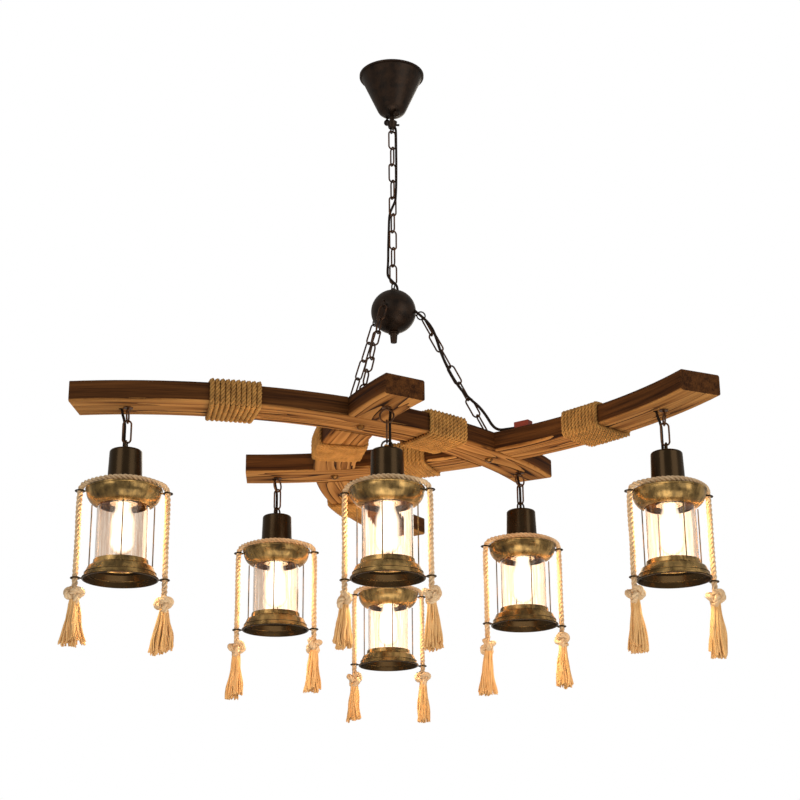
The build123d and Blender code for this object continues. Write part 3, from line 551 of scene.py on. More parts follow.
@dataclass(frozen=True)
class AgedBrass:
    """Antique brass of one lantern: streaked skin, dark cup and wires, painted shade under the foot, dull inner
    bowl.

    Heights are in metres over the lantern's foot and radii from its axis.
    """

    place: Place
    light: Triple = (0.74, 0.49, 0.19)
    middle: Triple = (0.25, 0.165, 0.062)
    patina: Triple = (0.055, 0.038, 0.018)
    dark: Triple = (0.033, 0.019, 0.008)
    dark_light: Triple = (0.085, 0.058, 0.03)
    shade: Triple = (0.062, 0.036, 0.013)
    lit: Triple = (0.085, 0.072, 0.058)
    stops: Triple = (0.38, 0.48, 0.60)
    streak_scale: float = 2.4
    streak_squash: float = 9.0
    cloud_scale: float = 30.0
    cup_from: float = 0.1516
    wires_from: float = 0.0602
    guard_radius: float = 0.048
    guard_slack: float = 0.0012
    guard_heights: tuple[float, float] = (0.0225, 0.115)
    guard_share: float = 0.55
    under_slope: float = -0.12
    under_top: float = 0.034
    bowl_radius: float = 0.055
    bowl_heights: tuple[float, float] = (0.1155, 0.15)
    least_rough: float = 0.12
    metallic: float = 0.85

    def build(self) -> Material:
        """Make the material.

        Returns:
            The material.
        """
        tree = Tree(f"aged_brass_{self.place.number}")
        local, parts, turn = tree.lantern(self.place)
        height, radius = parts["Z"], tree.radius(parts)
        normal = tree.add("ShaderNodeNewGeometry").outputs["Normal"]
        rise = tree.split(normal)["Z"]
        squashed = tree.math("MULTIPLY", height, self.streak_squash)
        skin = tree.add("ShaderNodeCombineXYZ", X=turn, Y=squashed, Z=0.0).outputs[0]
        streak = tree.noise(skin, self.streak_scale, 6.0, 0.6)
        cloud = tree.noise(tree.coordinates, self.cloud_scale, 5.0, 0.6)
        tone = tree.weighted((streak, 0.55), (cloud, 0.45))
        colour = tree.ramp(tone, self.stops, (self.patina, self.middle, self.light))
        tint = tree.blend(tree.math("MULTIPLY", cloud, 0.6), self.dark, self.dark_light)
        colour = tree.blend(self.dark_parts(tree, height, radius), colour, tint)
        # Painted shade: faces turned down low on the foot take the shade colour.
        under = tree.math("LESS_THAN", rise, self.under_slope)
        under = tree.math("MULTIPLY", under, tree.math("LESS_THAN", height, self.under_top))
        colour = tree.blend(under, colour, self.shade)
        inward = tree.vector("DOT_PRODUCT", normal, local).outputs["Value"]
        inward = tree.math("SUBTRACT", inward, tree.math("MULTIPLY", height, rise))
        inner = tree.math("LESS_THAN", radius, self.bowl_radius)
        bowl = tree.math("MULTIPLY", tree.math("LESS_THAN", inward, 0.0), inner)
        bowl = tree.math("MULTIPLY", bowl, tree.between(height, *self.bowl_heights))
        return tree.finish(tree.add(
            "ShaderNodeBsdfPrincipled", Base_Color=tree.blend(bowl, colour, self.lit),
            Roughness=tree.math("ADD", tree.math("MULTIPLY", cloud, 0.3), self.least_rough),
            Metallic=tree.math("SUBTRACT", self.metallic, bowl, True), Normal=tree.bump(cloud, 0.1, 0.0006),
        ))

    def dark_parts(self, tree: Tree, height: object, radius: object) -> Socket:
        """Mask of the dark cup, the outer wires and the guard wires.

        Args:
            tree: The material's builder.
            height: Height over the foot.
            radius: Distance from the axis.

        Returns:
            The mask socket.
        """
        cup = tree.math("GREATER_THAN", height, self.cup_from)
        wires = tree.math("GREATER_THAN", radius, self.wires_from)
        guard = tree.math("COMPARE", radius, self.guard_radius)
        guard.node.inputs[2].default_value = self.guard_slack
        guard = tree.math("MULTIPLY", guard, tree.between(height, *self.guard_heights))
        guard = tree.math("MULTIPLY", guard, self.guard_share)
        return tree.math("MAXIMUM", tree.math("MAXIMUM", cup, wires), guard)


@dataclass(frozen=True)
class StreakedGlass:
    """Clear glass cylinder with faint upright streaks."""

    place: Place
    clear: Triple = (0.92, 0.865, 0.805)
    streak: Triple = (0.76, 0.615, 0.50)
    stops: Triple = (0.36, 0.50, 0.64)
    streak_scale: float = 7.5
    refraction: float = 1.45
    bump_strength: float = 0.06
    bump_depth: float = 0.001

    def build(self) -> Material:
        """Make the material.

        Returns:
            The material.
        """
        tree = Tree(f"lantern_glass_{self.place.number}")
        _, parts, turn = tree.lantern(self.place)
        around = tree.add("ShaderNodeCombineXYZ", X=turn, Y=parts["Z"], Z=0.0).outputs[0]
        band = tree.noise(around, self.streak_scale, 3.0, 0.6)
        colour = tree.ramp(band, self.stops, (self.clear, self.streak, self.clear))
        shader = tree.add(
            "ShaderNodeBsdfPrincipled", Base_Color=colour, Roughness=0.0, IOR=self.refraction,
            Transmission_Weight=1.0, Normal=tree.bump(band, self.bump_strength, self.bump_depth),
        )
        shadow = tree.add("ShaderNodeLightPath").outputs["Is Shadow Ray"]
        return tree.finish(tree.mix(shadow, shader, tree.add("ShaderNodeBsdfTransparent", Color=colour)))


@dataclass(frozen=True)
class LitBulb:
    """Lit bulb: warm glow that fades into clear glass at its edge."""

    glow: Triple = (1.0, 0.93, 0.84)
    clear: Triple = (0.97, 0.92, 0.86)
    skin: Triple = (1.0, 0.95, 0.88)
    strength: float = 3.2
    edge_blend: float = 0.35
    core_power: float = 3.6
    swirl_scale: float = 120.0
    skin_share: float = 0.12
    skin_rough: float = 0.08

    def build(self) -> Material:
        """Make the material.

        Returns:
            The material.
        """
        tree = Tree("lit_bulb")
        facing = tree.add("ShaderNodeLayerWeight", Blend=self.edge_blend).outputs["Facing"]
        core = tree.math("POWER", tree.math("SUBTRACT", 1.0, facing), self.core_power)
        swirl = tree.noise(tree.coordinates, self.swirl_scale, 2.0)
        core = tree.math("MULTIPLY", core, tree.math("ADD", tree.math("MULTIPLY", swirl, 0.2), 0.9), True)
        glow = tree.add("ShaderNodeEmission", Color=(*self.glow, 1.0), Strength=self.strength)
        clear = tree.add("ShaderNodeBsdfTransparent", Color=(*self.clear, 1.0))
        skin = tree.add("ShaderNodeBsdfGlossy", Color=(*self.skin, 1.0), Roughness=self.skin_rough)
        body = tree.mix(core, tree.mix(self.skin_share, clear, skin), glow)
        shadow = tree.add("ShaderNodeLightPath").outputs["Is Shadow Ray"]
        return tree.finish(tree.mix(shadow, body, clear))


def built(finish: Coat | LitBulb) -> Material:
    """Field whose material is made together with the set of finishes.

    Args:
        finish: The finish to build.

    Returns:
        The field.
    """
    return field(default_factory=finish.build)


@dataclass
class Finishes:
    """All finishes that several pieces share, built once."""

    bronze: Material = built(bronze_coat("dark_bronze", (0.040, 0.019, 0.009), (0.009, 0.0045, 0.0025), 0.42))
    chain: Material = built(bronze_coat("chain_bronze", (0.14, 0.060, 0.024), (0.026, 0.011, 0.005), 0.4))
    hook: Material = built(bronze_coat("hook_bronze", (0.20, 0.092, 0.038), (0.04, 0.018, 0.008), 0.36))
    cord: Material = built(plain_coat("black_cord", (0.020, 0.011, 0.007), 0.7, specular=0.2))
    # Rope and tassel finishes paint lit fibres and shade between them.
    beam_rope: Material = built(fibre_coat("golden_rope", (0.62, 0.34, 0.095), (0.17, 0.075, 0.016)))
    lantern_rope: Material = built(fibre_coat("pale_rope", (0.87, 0.69, 0.47), (0.52, 0.34, 0.18)))
    tassel: Material = built(fibre_coat("tassel_fibre", (0.95, 0.63, 0.31), (0.72, 0.43, 0.16)))
    steel: Material = built(plain_coat("plated_steel", (0.5, 0.5, 0.5), 0.35, metallic=1.0))
    brass: Material = built(plain_coat("nut_brass", (0.34, 0.155, 0.045), 0.28, metallic=1.0))
    holder: Material = built(plain_coat("lampholder", (0.16, 0.135, 0.11), 0.4))
    orange: Material = built(plain_coat("clamp_orange", (0.30, 0.035, 0.010), 0.4))
    bulb: Material = built(LitBulb())


def dress(thing: Thing, material: Material) -> None:
    """Give an object one material.

    Args:
        thing: The object.
        material: The material for all of it.
    """
    thing.data.materials.clear()
    thing.data.materials.append(material)


def smooth_line(points: Sequence[Point], name: str, steps: int, closed: bool = False) -> Thing:
    """NURBS curve of order three through a route's control points.

    Args:
        points: Control points in metres.
        name: Name of the curve.
        steps: Points per control point when it is sampled.
        closed: Whether the line closes on itself.

    Returns:
        The curve object, linked to the scene.
    """
    data = bpy.data.curves.new(name, "CURVE")
    data.dimensions = "3D"
    data.resolution_u = steps
    spline = data.splines.new("NURBS")
    spline.points.add(len(points) - 1)
    for spot, point in zip(spline.points, points):
        spot.co = (*point, 1.0)
    spline.use_cyclic_u = closed
    spline.use_endpoint_u = not closed
    spline.order_u = 3
    thing = bpy.data.objects.new(name, data)
    bpy.context.collection.objects.link(thing)
    return thing


def sampled(line: Thing) -> np.ndarray:
    """Points of a curve with no bevel, read from its own spline.

    Args:
        line: The curve object.

    Returns:
        The points in metres.
    """
    bpy.context.view_layer.update()
    mesh = bpy.data.meshes.new_from_object(line)
    found = np.array([vertex.co[:] for vertex in mesh.vertices])
    bpy.data.meshes.remove(mesh)
    return found


def traced(points: Sequence[Point], name: str, steps: int, closed: bool = False) -> np.ndarray:
    """Points read from a NURBS curve that isn't kept.

    Args:
        points: Control points in metres.
        name: Name of the curve.
        steps: Points per control point.
        closed: Whether the line closes on itself.

    Returns:
        The points in metres.
    """
    line = smooth_line(points, name, steps, closed)
    found = sampled(line)
    bpy.data.objects.remove(line)
    return found


def evenly(points: np.ndarray, step: float, closed: bool = False) -> np.ndarray:
    """Points spread evenly along a line.

    Args:
        points: Points of the line.
        step: Distance wanted between two points.
        closed: Whether the line closes on itself.

    Returns:
        The even points.
    """
    if closed:
        points = np.vstack([points, points[:1]])
    gaps = np.linalg.norm(np.diff(points, axis=0), axis=1)
    points = points[np.concatenate([[True], gaps > LEAST_GAP])]
    run = np.concatenate([[0.0], np.cumsum(np.linalg.norm(np.diff(points, axis=0), axis=1))])
    count = max(4, int(round(run[-1] / step)))
    at = np.linspace(0, run[-1], count + 1)
    if closed:
        at = at[:-1]
    return np.stack([np.interp(at, run, points[:, axis]) for axis in range(3)], 1)


def length_of(points: np.ndarray) -> float:
    """Length of a line.

    Args:
        points: Points of the line.

    Returns:
        The length in metres.
    """
    return float(np.linalg.norm(np.diff(points, axis=0), axis=1).sum())


def side_frames(points: np.ndarray, closed: bool = False) -> tuple[np.ndarray, np.ndarray]:
    """Two side directions at each point, carried along without twist.

    Args:
        points: Evenly spread points.
        closed: Whether the line closes on itself.

    Returns:
        First and second side direction at every point.
    """
    if closed:
        ahead = np.roll(points, -1, 0) - np.roll(points, 1, 0)
    else:
        ahead = np.gradient(points, axis=0)
    ahead /= np.linalg.norm(ahead, axis=1)[:, None]
    start = np.array([1.0, 0.0, 0.0]) if abs(ahead[0][0]) < 0.8 else np.array([0.0, 1.0, 0.0])
    first = np.zeros_like(points)
    side = start - ahead[0] * start.dot(ahead[0])
    for number, way in enumerate(ahead):
        side = side - way * side.dot(way)
        side /= np.linalg.norm(side)
        first[number] = side
    return first, np.cross(ahead, first)


def tubes(name: str, lines: Sequence[np.ndarray], radius: float, sides: int, closed: bool = False) -> Thing:
    """Round tubes along several lines, made one mesh.

    Args:
        name: Name of the piece.
        lines: Centre lines in metres.
        radius: Radius of each tube.
        sides: Bevel resolution of the round.
        closed: Whether the lines close on themselves.

    Returns:
        The mesh object.
    """
    data = bpy.data.curves.new(name, "CURVE")
    data.dimensions = "3D"
    data.bevel_depth = radius
    data.bevel_resolution = sides
    data.use_fill_caps = not closed
    for line in lines:
        spline = data.splines.new("POLY")
        spline.points.add(len(line) - 1)
        spline.points.foreach_set("co", np.hstack([line, np.ones((len(line), 1))]).ravel())
        spline.use_cyclic_u = closed
        spline.use_smooth = True
    thing = bpy.data.objects.new(name, data)
    bpy.context.collection.objects.link(thing)
    bpy.ops.object.select_all(action="DESELECT")
    bpy.context.view_layer.objects.active = thing
    thing.select_set(True)
    bpy.ops.object.convert(target="MESH")
    thing.select_set(False)
    return thing


@dataclass(frozen=True)
class RopeLay:
    """How a rope is laid: its diameter and the length of one turn in metres, its strands and their shares."""

    diameter: float
    lay: float
    steps: int
    share: float
    offset: float
    sides: int
    strands: int = 3

    def strand_lines(self, points: np.ndarray, closed: bool = False) -> list[np.ndarray]:
        """Centre lines of the strands around a route.

        Args:
            points: The route in metres.
            closed: Whether the route closes on itself.

        Returns:
            One line of points for each strand.
        """
        even = evenly(points, self.lay / self.steps, closed)
        first, second = side_frames(even, closed)
        turns = np.arange(len(even)) * self.lay / self.steps / self.lay
        if closed:
            whole = max(1, round(len(even) / self.steps))
            turns = np.arange(len(even)) / len(even) * whole
        reach = self.diameter * self.offset
        lines = []
        for number in range(self.strands):
            angle = 2 * math.pi * (turns + number / self.strands)
            away = first * (np.cos(angle) * reach)[:, None] + second * (np.sin(angle) * reach)[:, None]
            lines.append(even + away)
        return lines

    def make(self, name: str, points: np.ndarray, closed: bool = False) -> Thing:
        """Stranded rope as one mesh.

        Args:
            name: Name of the piece.
            points: The route in metres.
            closed: Whether the route closes on itself.

        Returns:
            The mesh object.
        """
        return tubes(name, self.strand_lines(points, closed), self.diameter * self.share, self.sides, closed)


def record_piece(thing: Thing, body: str, material: Material) -> None:
    """Dress a piece and let it ride on a body.

    Args:
        thing: The piece.
        body: Name of the body.
        material: The piece's material.
    """
    dress(thing, material)
    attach(thing, body)
    LOG.info("%s rides on %s", thing.name, body)


@dataclass
class Cords:
    """The supply cord, the feed cord and the drop cords, in millimetres."""

    finishes: Finishes
    diameter: float = 4.5
    feed_diameter: float = 5.0
    steps: int = 12
    sides: int = 4
    hole_along: float = 6.0
    hole_back: float = 10.8
    hole_depth: float = 7.0
    hole_exit: float = 5.0
    foot_offset: float = 4.5
    eye_above: float = 2.0
    eye_below: float = 16.0
    eye_lean: float = 0.5
    cup_above: float = 6.0
    cup_depth: float = 4.0
    cup_lean: float = 0.4
    chain_turn: float = 25.0
    lacing: tuple[Point, ...] = (
        (5.2, -2.2, -109.5), (6.0, -4.2, -113.3), (6.2, -4.1, -134.0), (6.0, -4.5, -160.0),
        (6.2, -4.1, -192.0), (5.4, -4.7, -230.0), (4.3, -4.5, -251.0), (3.6, -4.4, -260.5),
        (-0.1, 0.1, -271.5), (-3.8, 4.5, -283.5), (-5.4, 4.4, -296.0), (-6.3, 4.05, -318.0),
        (-7.2, 4.8, -350.0), (-7.6, 4.6, -380.0), (-9.6, 4.0, -400.0), (-11.0, -1.4, -412.0),
        (-8.0, -8.4, -421.0), (-3.0, -12.2, -428.0), (1.6, -13.6, -433.4), (1.4, -15.2, -443.0),
    )
    feed: tuple[Point, ...] = (
        (34.0, -12.0, -477.6), (53.9, -13.0, -495.2), (66.9, -13.4, -512.5), (74.5, -13.0, -531.5),
        (81.9, -12.6, -559.0), (94.5, -13.2, -591.8), (107.2, -13.0, -616.1), (119.9, -13.4, -634.8),
        (133.0, -13.0, -649.0), (146.4, -12.8, -660.8), (158.6, -13.2, -677.6), (170.0, -13.8, -699.0),
        (180.5, -16.4, -706.4), (193.5, -20.6, -706.3), (211.0, -28.0, -706.0),
    )

    def make(self) -> None:
        """Build every cord."""
        turn = math.radians(self.chain_turn)
        route = [
            (a * math.cos(turn) - b * math.sin(turn), a * math.sin(turn) + b * math.cos(turn), z)
            for a, b, z in self.lacing
        ]
        self.run("supply_line", route, self.diameter, "chain", ("supply_cord",))
        self.run("feed_line", self.feed, self.feed_diameter, "frame", ("feed_cord",))
        for place in PLACES:
            self.drop(place)

    def run(self, name: str, route: Sequence[Point], diameter: float, body: str, nodes: Sequence[str]) -> None:
        """One cord that goes back into the object.

        Args:
            name: Name of the cord.
            route: Control points in millimetres.
            diameter: Diameter in millimetres.
            body: Body that it rides on.
            nodes: Nodes that it stands for.
        """
        points = [Vector(point) * MM for point in route]
        line = smooth_line(points, name, self.steps)
        length = length_of(sampled(line))
        line.data.bevel_depth = diameter * MM / 2
        line.data.bevel_resolution = self.sides
        line.data.use_fill_caps = True
        record_piece(line, body, self.finishes.cord)
        if nodes:
            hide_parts(*nodes)

    def drop(self, place: Place) -> None:
        """Drop cord of one lantern, out of the timber and into the cup.

        Args:
            place: The lantern's place.
        """
        turn = math.radians(place.eye_turn)
        along = Vector((math.cos(turn), math.sin(turn), 0))
        facing = Vector((math.sin(turn), -math.cos(turn), 0))
        hole = place.point() + along * self.hole_along - facing * self.hole_back
        foot = place.point() + along * self.foot_offset - facing * self.foot_offset
        stops = (
            (hole, PLAN.beam_low + self.hole_depth, 0.0),
            (hole, PLAN.beam_low - self.hole_exit, 0.0),
            (foot, PLAN.eye_low_wire + self.eye_above, 0.0),
            (foot, PLAN.eye_low_wire - self.eye_below, self.eye_lean),
            (foot, PLAN.cup_top + self.cup_above, 0.0),
            (foot, PLAN.cup_top - self.cup_depth, self.cup_lean),
        )
        route = [spot + Vector((0, 0, height)) + along * lean for spot, height, lean in stops]
        self.run(f"drop_line_{place.number}", route, self.diameter, f"link_{place.number}", ())


@dataclass
class Hangers:
    """Oval links between the screw eyes and the lanterns, in millimetres."""

    finishes: Finishes
    length: float = 37.0
    width: float = 13.0
    wire: float = 3.0
    steps: int = 48
    sides: int = 3

    def make(self) -> None:
        """Build the six links."""
        for place in PLACES:
            self.link(place)

    def link(self, place: Place) -> None:
        """One bent link.

        Args:
            place: The lantern's place.
        """
        turn = math.radians(place.eye_turn)
        across = Vector((math.sin(turn), -math.cos(turn), 0))
        middle = place.point(PLAN.link_low_wire + self.length / 2)
        bend = self.width / 2
        half = self.length / 2 - bend
        spots = []
        for step in range(self.steps):
            angle = 2 * math.pi * step / self.steps
            rise = 0.0
            if step % (self.steps // 2):
                rise = math.sin(angle) * bend + math.copysign(half, math.sin(angle))
            spots.append((middle + across * math.cos(angle) * bend + Vector((0, 0, rise))) * MM)
        lines = [np.array(spots)]
        thing = tubes(f"hanger_link_{place.number}", lines, self.wire * MM / 2, self.sides, closed=True)
        record_piece(thing, f"link_{place.number}", self.finishes.hook)
        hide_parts(f"hanger_{place.number}")


@dataclass
class BeamWindings:
    """Rope wound ten times round each timber, twice on every arc, in millimetres."""

    finishes: Finishes
    lay: RopeLay = RopeLay(8.0 * MM, 20 * MM, steps=8, share=0.235, offset=0.30, sides=1)
    pitch: float = 7.9
    turns: int = 10
    starts: tuple[float, float] = (-400.0, -33.0)
    off: float = 3.8
    corner: float = 3.8
    steps: int = 8

    def make(self) -> None:
        """Build the six windings."""
        number = 0
        for arm in range(ARMS):
            for start in self.starts:
                number += 1
                self.winding(number, arm, start)

    def winding(self, number: int, arm: int, start: float) -> None:
        """One winding, square below and at the sides and shifting on top.

        Args:
            number: Number of the winding, from 1.
            arm: Number of the arc, from 0.
            start: Where its first turn lies along the arc.
        """
        side = PLAN.beam_width / 2 + self.off
        low, top = PLAN.beam_low - self.off, PLAN.beam_top + self.off
        near = side - self.corner
        route = [PLAN.beam_point(arm, start - self.pitch / 2, 0, top)]
        for turn in range(self.turns):
            along = start + turn * self.pitch
            for across, height in (
                (near, top), (side, top - self.corner), (side, low + self.corner), (near, low),
                (-near, low), (-side, low + self.corner), (-side, top - self.corner), (-near, top),
            ):
                route.append(PLAN.beam_point(arm, along, across, height))
        route.append(PLAN.beam_point(arm, start + (self.turns - 0.5) * self.pitch, 0, top))
        points = traced([point * MM for point in route], f"winding_route_{number}", self.steps)
        thing = self.lay.make(f"winding_{number}", points)
        record_piece(thing, "frame", self.finishes.beam_rope)
        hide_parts("rope_wraps")


@dataclass(frozen=True)
class TasselShape:
    """Shape of a frayed end, in millimetres: clumps of yarns that spread and wave as they fall."""

    clumps: int = 15
    yarns: int = 12
    steps: int = 8
    radius: float = 1.15
    clump_turn: float = 2.39996
    inset: float = 7.0
    neck: float = 5.4
    lean: float = 3.0
    jitter: float = 0.2
    clump_drop: float = 11.0
    yarn_drop: float = 5.0
    bends: tuple[float, float] = (1.0, 3.2)
    waves: tuple[float, float] = (0.2, 0.7)
    whole_turn: float = 6.28
    loose: tuple[float, float] = (1.1, 2.4)
    beats: Triple = (5.0, 11.0, 9.0)
    side_sway: float = -0.6

    def lines(self, start: float, low: float, flare: float, dice: random.Random) -> list[list[Vector]]:
        """Centre lines of the yarns.

        Args:
            start: Height where the yarns leave the knot.
            low: Height of the lowest yarns.
            flare: How much the tassel widens down to its end.
            dice: Source of the random draws.

        Returns:
            The points of each yarn, from the rope's axis.
        """
        lean = Vector((dice.uniform(-self.lean, self.lean), dice.uniform(-self.lean, self.lean), 0))
        slow, quick, other = self.beats
        lines = []
        for clump in range(self.clumps):
            angle = clump * self.clump_turn + dice.uniform(-self.jitter, self.jitter)
            share = math.sqrt((clump + 0.5) / self.clumps)
            end = low + dice.uniform(0, self.clump_drop)
            bend, phase = dice.uniform(*self.bends), dice.uniform(0, self.whole_turn)
            for _ in range(self.yarns):
                off = Vector((dice.uniform(-1, 1), dice.uniform(-1, 1), 0))
                foot = end + dice.uniform(0, self.yarn_drop)
                wave, beat = dice.uniform(*self.waves), dice.uniform(0, self.whole_turn)
                spots = []
                for step in range(self.steps + 1):
                    fall = step / self.steps
                    sway = bend * math.sin(phase + slow * fall) * fall
                    reach = Vector((math.cos(angle), math.sin(angle), 0)) * share * (self.neck + flare * fall)
                    reach += off * (self.loose[0] + self.loose[1] * fall) + lean * fall
                    reach += Vector((sway, self.side_sway * sway, 0))
                    reach += Vector((math.sin(beat + quick * fall), math.cos(beat + other * fall), 0)) * wave
                    spots.append(reach + Vector((0, 0, start + (foot - start) * fall)))
                lines.append(spots)
        return lines


@dataclass
class LanternRope:
    """Rope over one lantern's crown with a knot and a frayed tassel at each end, in millimetres."""

    finishes: Finishes
    lay: RopeLay = RopeLay(9.0 * MM, 23 * MM, steps=12, share=0.235, offset=0.295, sides=2)
    knot_lay: RopeLay = RopeLay(10.5 * MM, 24 * MM, steps=10, share=0.26, offset=0.25, sides=2)
    shape: TasselShape = TasselShape()
    out: float = 67.5
    side: tuple[Point, ...] = (
        (67.95, 0.3, 12.0), (67.05, -0.3, 52.0), (67.95, 0.3, 104.0), (67.5, 0.0, 138.0),
        (64.0, -6.0, 148.0), (50.0, -23.0, 149.5), (27.0, -37.5, 151.4),
    )
    crown: Point = (0.0, -43.0, 152.2)
    end_tuck: float = 4.0
    knot_top: float = -9.0
    knot_height: float = 30.0
    knot_size: float = 4.2
    knot_depth: float = 6.8
    knot_tilt: float = 70.0
    knot_steps: int = 18
    drops: tuple[tuple[float, float], ...] = ((0, 12), (7, 3), (5, 3), (3, -2), (14, -3), (2, 0))
    lows: tuple[tuple[float, float], ...] = (
        (-106, -117), (-121, -112), (-108, -113), (-111, -111), (-124, -109), (-118, -120),
    )
    flares: tuple[float, ...] = (13.0, 7.0, 8.5, 6.5, 7.5, 7.0)

    def route(self, place: Place) -> list[Point]:
        """Route in the lantern's own frame.

        Args:
            place: The lantern's place.

        Returns:
            Control points from the right end to the left end.
        """
        left_drop, right_drop = self.drops[place.number - 1]
        left = [(-x, y, z) for x, y, z in reversed(self.side)]
        first = (self.out, 0, self.knot_top - right_drop - self.end_tuck)
        last = (-self.out, 0, self.knot_top - left_drop - self.end_tuck)
        return [first, *self.side, self.crown, *left, last]

    def make(self) -> None:
        """Build the ropes of the six lanterns."""
        for place in PLACES:
            self.rope(place)

    def rope(self, place: Place) -> None:
        """Rope, knots and tassels of one lantern.

        Args:
            place: The lantern's place.
        """
        number = place.number
        foot = place.point(PLAN.lantern_base)
        move = Matrix.Translation(foot) @ Matrix.Rotation(math.radians(place.turn), 4, "Z")
        points = [(move @ Vector(point)) * MM for point in self.route(place)]
        path = traced(points, f"rope_route_{number}", steps=12)
        rope = self.lay.make(f"lantern_rope_{number}", path)
        record_piece(rope, f"lantern_{number}", self.finishes.lantern_rope)
        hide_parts(f"lantern_{number}_rope")
        dice = random.Random(40 + number)
        ends = []
        for side, name, choice in ((1, "right", 1), (-1, "left", 0)):
            top = self.knot_top - self.drops[number - 1][choice]
            knot = self.knot(f"knot_{number}_{name}", move, side, top, dice)
            start = top - self.knot_height + self.shape.inset
            yarns = self.shape.lines(start, self.lows[number - 1][choice], self.flares[number - 1], dice)
            axis = Vector((side * self.out, 0, 0))
            lines = [np.array([(move @ (axis + spot)) * MM for spot in yarn]) for yarn in yarns]
            tassel = tubes(f"tassel_{number}_{name}", lines, self.shape.radius * MM, sides=0)
            record_piece(knot, f"lantern_{number}", self.finishes.lantern_rope)
            record_piece(tassel, f"lantern_{number}", self.finishes.tassel)
            ends += [knot, tassel]

    def knot(self, name: str, move: Matrix, side: int, top: float, dice: random.Random) -> Thing:
        """Overhand knot as one closed stranded loop.

        Args:
            name: Name of the piece.
            move: From the lantern's own frame to the shared one.
            side: 1 for the right end, -1 for the left.
            top: Height of the knot's top.
            dice: Source of the random draws.

        Returns:
            The mesh object.
        """
        middle = Vector((side * self.out, 0, top - self.knot_height / 2))
        tilt = Matrix.Rotation(math.radians(self.knot_tilt), 4, "X")
        tilt = Matrix.Rotation(dice.uniform(0, 2 * math.pi), 4, "Z") @ tilt
        spots = []
        for step in range(self.knot_steps):
            angle = 2 * math.pi * step / self.knot_steps
            x = math.sin(angle) + 2 * math.sin(2 * angle)
            y = math.cos(angle) - 2 * math.cos(2 * angle)
            z = -math.sin(3 * angle)
            local = tilt @ Vector((x * self.knot_size, y * self.knot_size, z * self.knot_depth))
            spots.append((move @ (middle + local)) * MM)
        return self.knot_lay.make(name, traced(spots, f"{name}_route", steps=8, closed=True), closed=True)


class CadDress:
    """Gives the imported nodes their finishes."""

    def __init__(self, nodes: dict, finishes: Finishes) -> None:
        """Keep the nodes and finishes.

        Args:
            nodes: Node objects by name.
            finishes: All plain finishes.
        """
        self.nodes = nodes
        self.finishes = finishes

    def apply(self) -> None:
        """Dress every node."""
        for material, names in (
            (self.finishes.steel, ("ceiling_bracket",)),
            (self.finishes.bronze, ("canopy", "canopy_fixings", "hang_stem", "hang_loop")),
            (self.finishes.bronze, ("ball_shell", "ball_fittings")),
            (self.finishes.chain, ("main_chain", "support_chains")),
            (self.finishes.cord, ("supply_cord", "feed_cord")),
            (self.finishes.brass, ("eye_bolts",)),
            (self.finishes.beam_rope, ("rope_wraps",)),
            (self.finishes.hook, ("screw_eyes",)),
            (self.finishes.orange, ("terminal_block",)),
        ):
            for name in names:
                dress(self.nodes[name], material)
        for arm, name in enumerate(("beam_left", "beam_right", "beam_back")):
            dress(self.nodes[name], StainedTimber(arm).build())
        for place in PLACES:
            self.lantern(place)

    def lantern(self, place: Place) -> None:
        """Dress one lantern and its hanger.

        Args:
            place: The lantern's place.
        """
        number = place.number
        brass = AgedBrass(place).build()
        for part, material in (
            ("cap", brass), ("base", brass), ("lampholder", self.finishes.holder), ("bulb", self.finishes.bulb),
            ("glass", StreakedGlass(place).build()), ("rope", self.finishes.lantern_rope),
        ):
            dress(self.nodes[f"lantern_{number}_{part}"], material)
        dress(self.nodes[f"hanger_{number}"], self.finishes.hook)


@dataclass(frozen=True)
class Lamp:
    """One soft studio lamp: its name, place and size in metres, and power in watts."""

    name: str
    place: Point
    size: float
    power: float


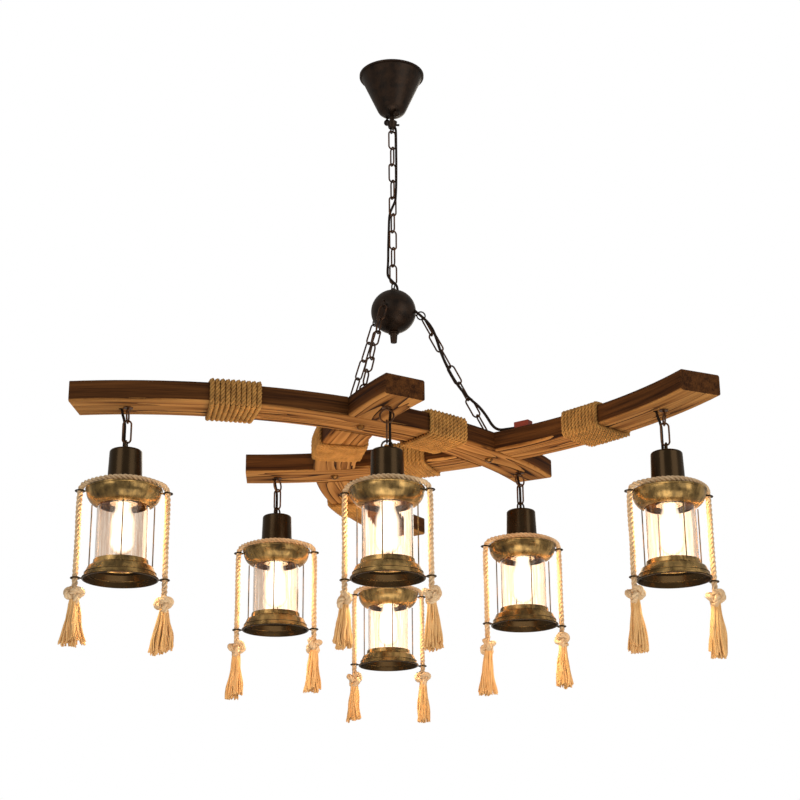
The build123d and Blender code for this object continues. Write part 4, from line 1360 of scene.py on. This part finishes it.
@dataclass
class Studio:
    """Floor, white surroundings, lamps and the camera."""

    floor_height: float = -2.6
    floor_size: float = 14.0
    floor_colour: Triple = (0.86, 0.86, 0.86)
    sky: float = 0.36
    sky_colour: Triple = (1.0, 0.93, 0.84)
    camera_place: Point = (0.010, -2.760, -1.605)
    camera_rise: float = 19.2
    camera_roll: float = -0.55
    camera_lens: float = 75.26
    camera_sensor: float = 36.0
    camera_reach: float = 50.0
    lamps: tuple[Lamp, ...] = (
        Lamp("key", (-2.2, -3.0, 0.6), 2.0, 22.0),
        Lamp("fill", (2.6, -2.4, -0.4), 2.4, 28.0),
        Lamp("back", (0.4, 2.8, 0.2), 2.0, 22.0),
        Lamp("below", (0.2, -0.8, -2.5), 2.2, 26.0),
    )
    lamp_colour: Triple = (1.0, 0.90, 0.76)
    lamp_aim: Point = (0.0, 0.0, -0.7)
    bulb_power: float = 2.3
    bulb_colour: Triple = (1.0, 0.80, 0.54)
    bulb_radius: float = 0.018
    bulb_rise: float = 72.0

    def make(self) -> None:
        """Set the whole studio."""
        self.camera()
        self.world()
        self.floor()
        for lamp in self.lamps:
            self.soft_lamp(lamp)
        for place in PLACES:
            self.bulb_light(place)
        bpy.context.scene.view_settings.view_transform = "Standard"

    def camera(self) -> None:
        """Camera at the viewing angle of the reference."""
        data = bpy.data.cameras.new("view")
        data.lens = self.camera_lens
        data.sensor_width = self.camera_sensor
        data.clip_end = self.camera_reach
        rise, roll = math.radians(self.camera_rise), math.radians(self.camera_roll)
        forward = Vector((0, math.cos(rise), math.sin(rise)))
        level, up = Vector((1, 0, 0)), Vector((0, -math.sin(rise), math.cos(rise)))
        right = level * math.cos(roll) + up * math.sin(roll)
        top = up * math.cos(roll) - level * math.sin(roll)
        turn = Matrix((right, top, -forward)).transposed().to_4x4()
        thing = bpy.data.objects.new("view", data)
        thing.matrix_world = Matrix.Translation(self.camera_place) @ turn
        bpy.context.collection.objects.link(thing)
        bpy.context.scene.camera = thing

    def world(self) -> None:
        """Surroundings that look white and light the object softly."""
        world = bpy.data.worlds.new("studio")
        bpy.context.scene.world = world
        world.use_nodes = True
        nodes, links = world.node_tree.nodes, world.node_tree.links
        nodes.clear()
        rays = nodes.new("ShaderNodeLightPath")
        seen = nodes.new("ShaderNodeMath")
        seen.operation = "MAXIMUM"
        links.new(rays.outputs["Is Camera Ray"], seen.inputs[0])
        links.new(rays.outputs["Is Transmission Ray"], seen.inputs[1])
        soft, white = nodes.new("ShaderNodeBackground"), nodes.new("ShaderNodeBackground")
        soft.inputs["Color"].default_value = (*self.sky_colour, 1.0)
        soft.inputs["Strength"].default_value = self.sky
        white.inputs["Color"].default_value = (1.0, 1.0, 1.0, 1.0)
        white.inputs["Strength"].default_value = 1.0
        mix, output = nodes.new("ShaderNodeMixShader"), nodes.new("ShaderNodeOutputWorld")
        links.new(seen.outputs[0], mix.inputs[0])
        links.new(soft.outputs[0], mix.inputs[1])
        links.new(white.outputs[0], mix.inputs[2])
        links.new(mix.outputs[0], output.inputs["Surface"])

    def floor(self) -> None:
        """Pale floor far below the lanterns."""
        bpy.ops.object.select_all(action="DESELECT")
        bpy.ops.mesh.primitive_plane_add(size=self.floor_size, location=(0, 0, self.floor_height))
        floor = bpy.context.object
        floor.name = "studio_floor"
        floor.data.transform(floor.matrix_world)
        floor.matrix_world = Matrix.Identity(4)
        tree = Tree("floor_white")
        dress(floor, tree.finish(tree.add("ShaderNodeBsdfDiffuse", Color=(*self.floor_colour, 1.0))))

    def soft_lamp(self, lamp: Lamp) -> None:
        """One soft lamp aimed at the object.

        Args:
            lamp: The lamp.
        """
        data = bpy.data.lights.new(lamp.name, "AREA")
        data.size = lamp.size
        data.energy = lamp.power
        data.color = self.lamp_colour
        thing = bpy.data.objects.new(lamp.name, data)
        aim = Vector(self.lamp_aim) - Vector(lamp.place)
        thing.matrix_world = Matrix.Translation(lamp.place) @ aim.to_track_quat("-Z", "Y").to_matrix().to_4x4()
        bpy.context.collection.objects.link(thing)

    def bulb_light(self, place: Place) -> None:
        """Warm light of one bulb, which isn't seen itself.

        Args:
            place: The lantern's place.
        """
        data = bpy.data.lights.new(f"bulb_light_{place.number}", "POINT")
        data.energy = self.bulb_power
        data.color = self.bulb_colour
        data.shadow_soft_size = self.bulb_radius
        thing = bpy.data.objects.new(data.name, data)
        thing.location = place.point(PLAN.lantern_base + self.bulb_rise) * MM
        thing.visible_camera = thing.visible_transmission = thing.visible_glossy = False
        bpy.context.collection.objects.link(thing)


def main() -> None:
    """Build the pendant's looks."""
    logging.basicConfig(level=logging.INFO)
    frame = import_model()
    Studio().make()
    finishes = Finishes()
    CadDress(frame["nodes"], finishes).apply()
    Cords(finishes).make()
    Hangers(finishes).make()
    LanternRope(finishes).make()
    BeamWindings(finishes).make()


if __name__ == "__main__":
    main()
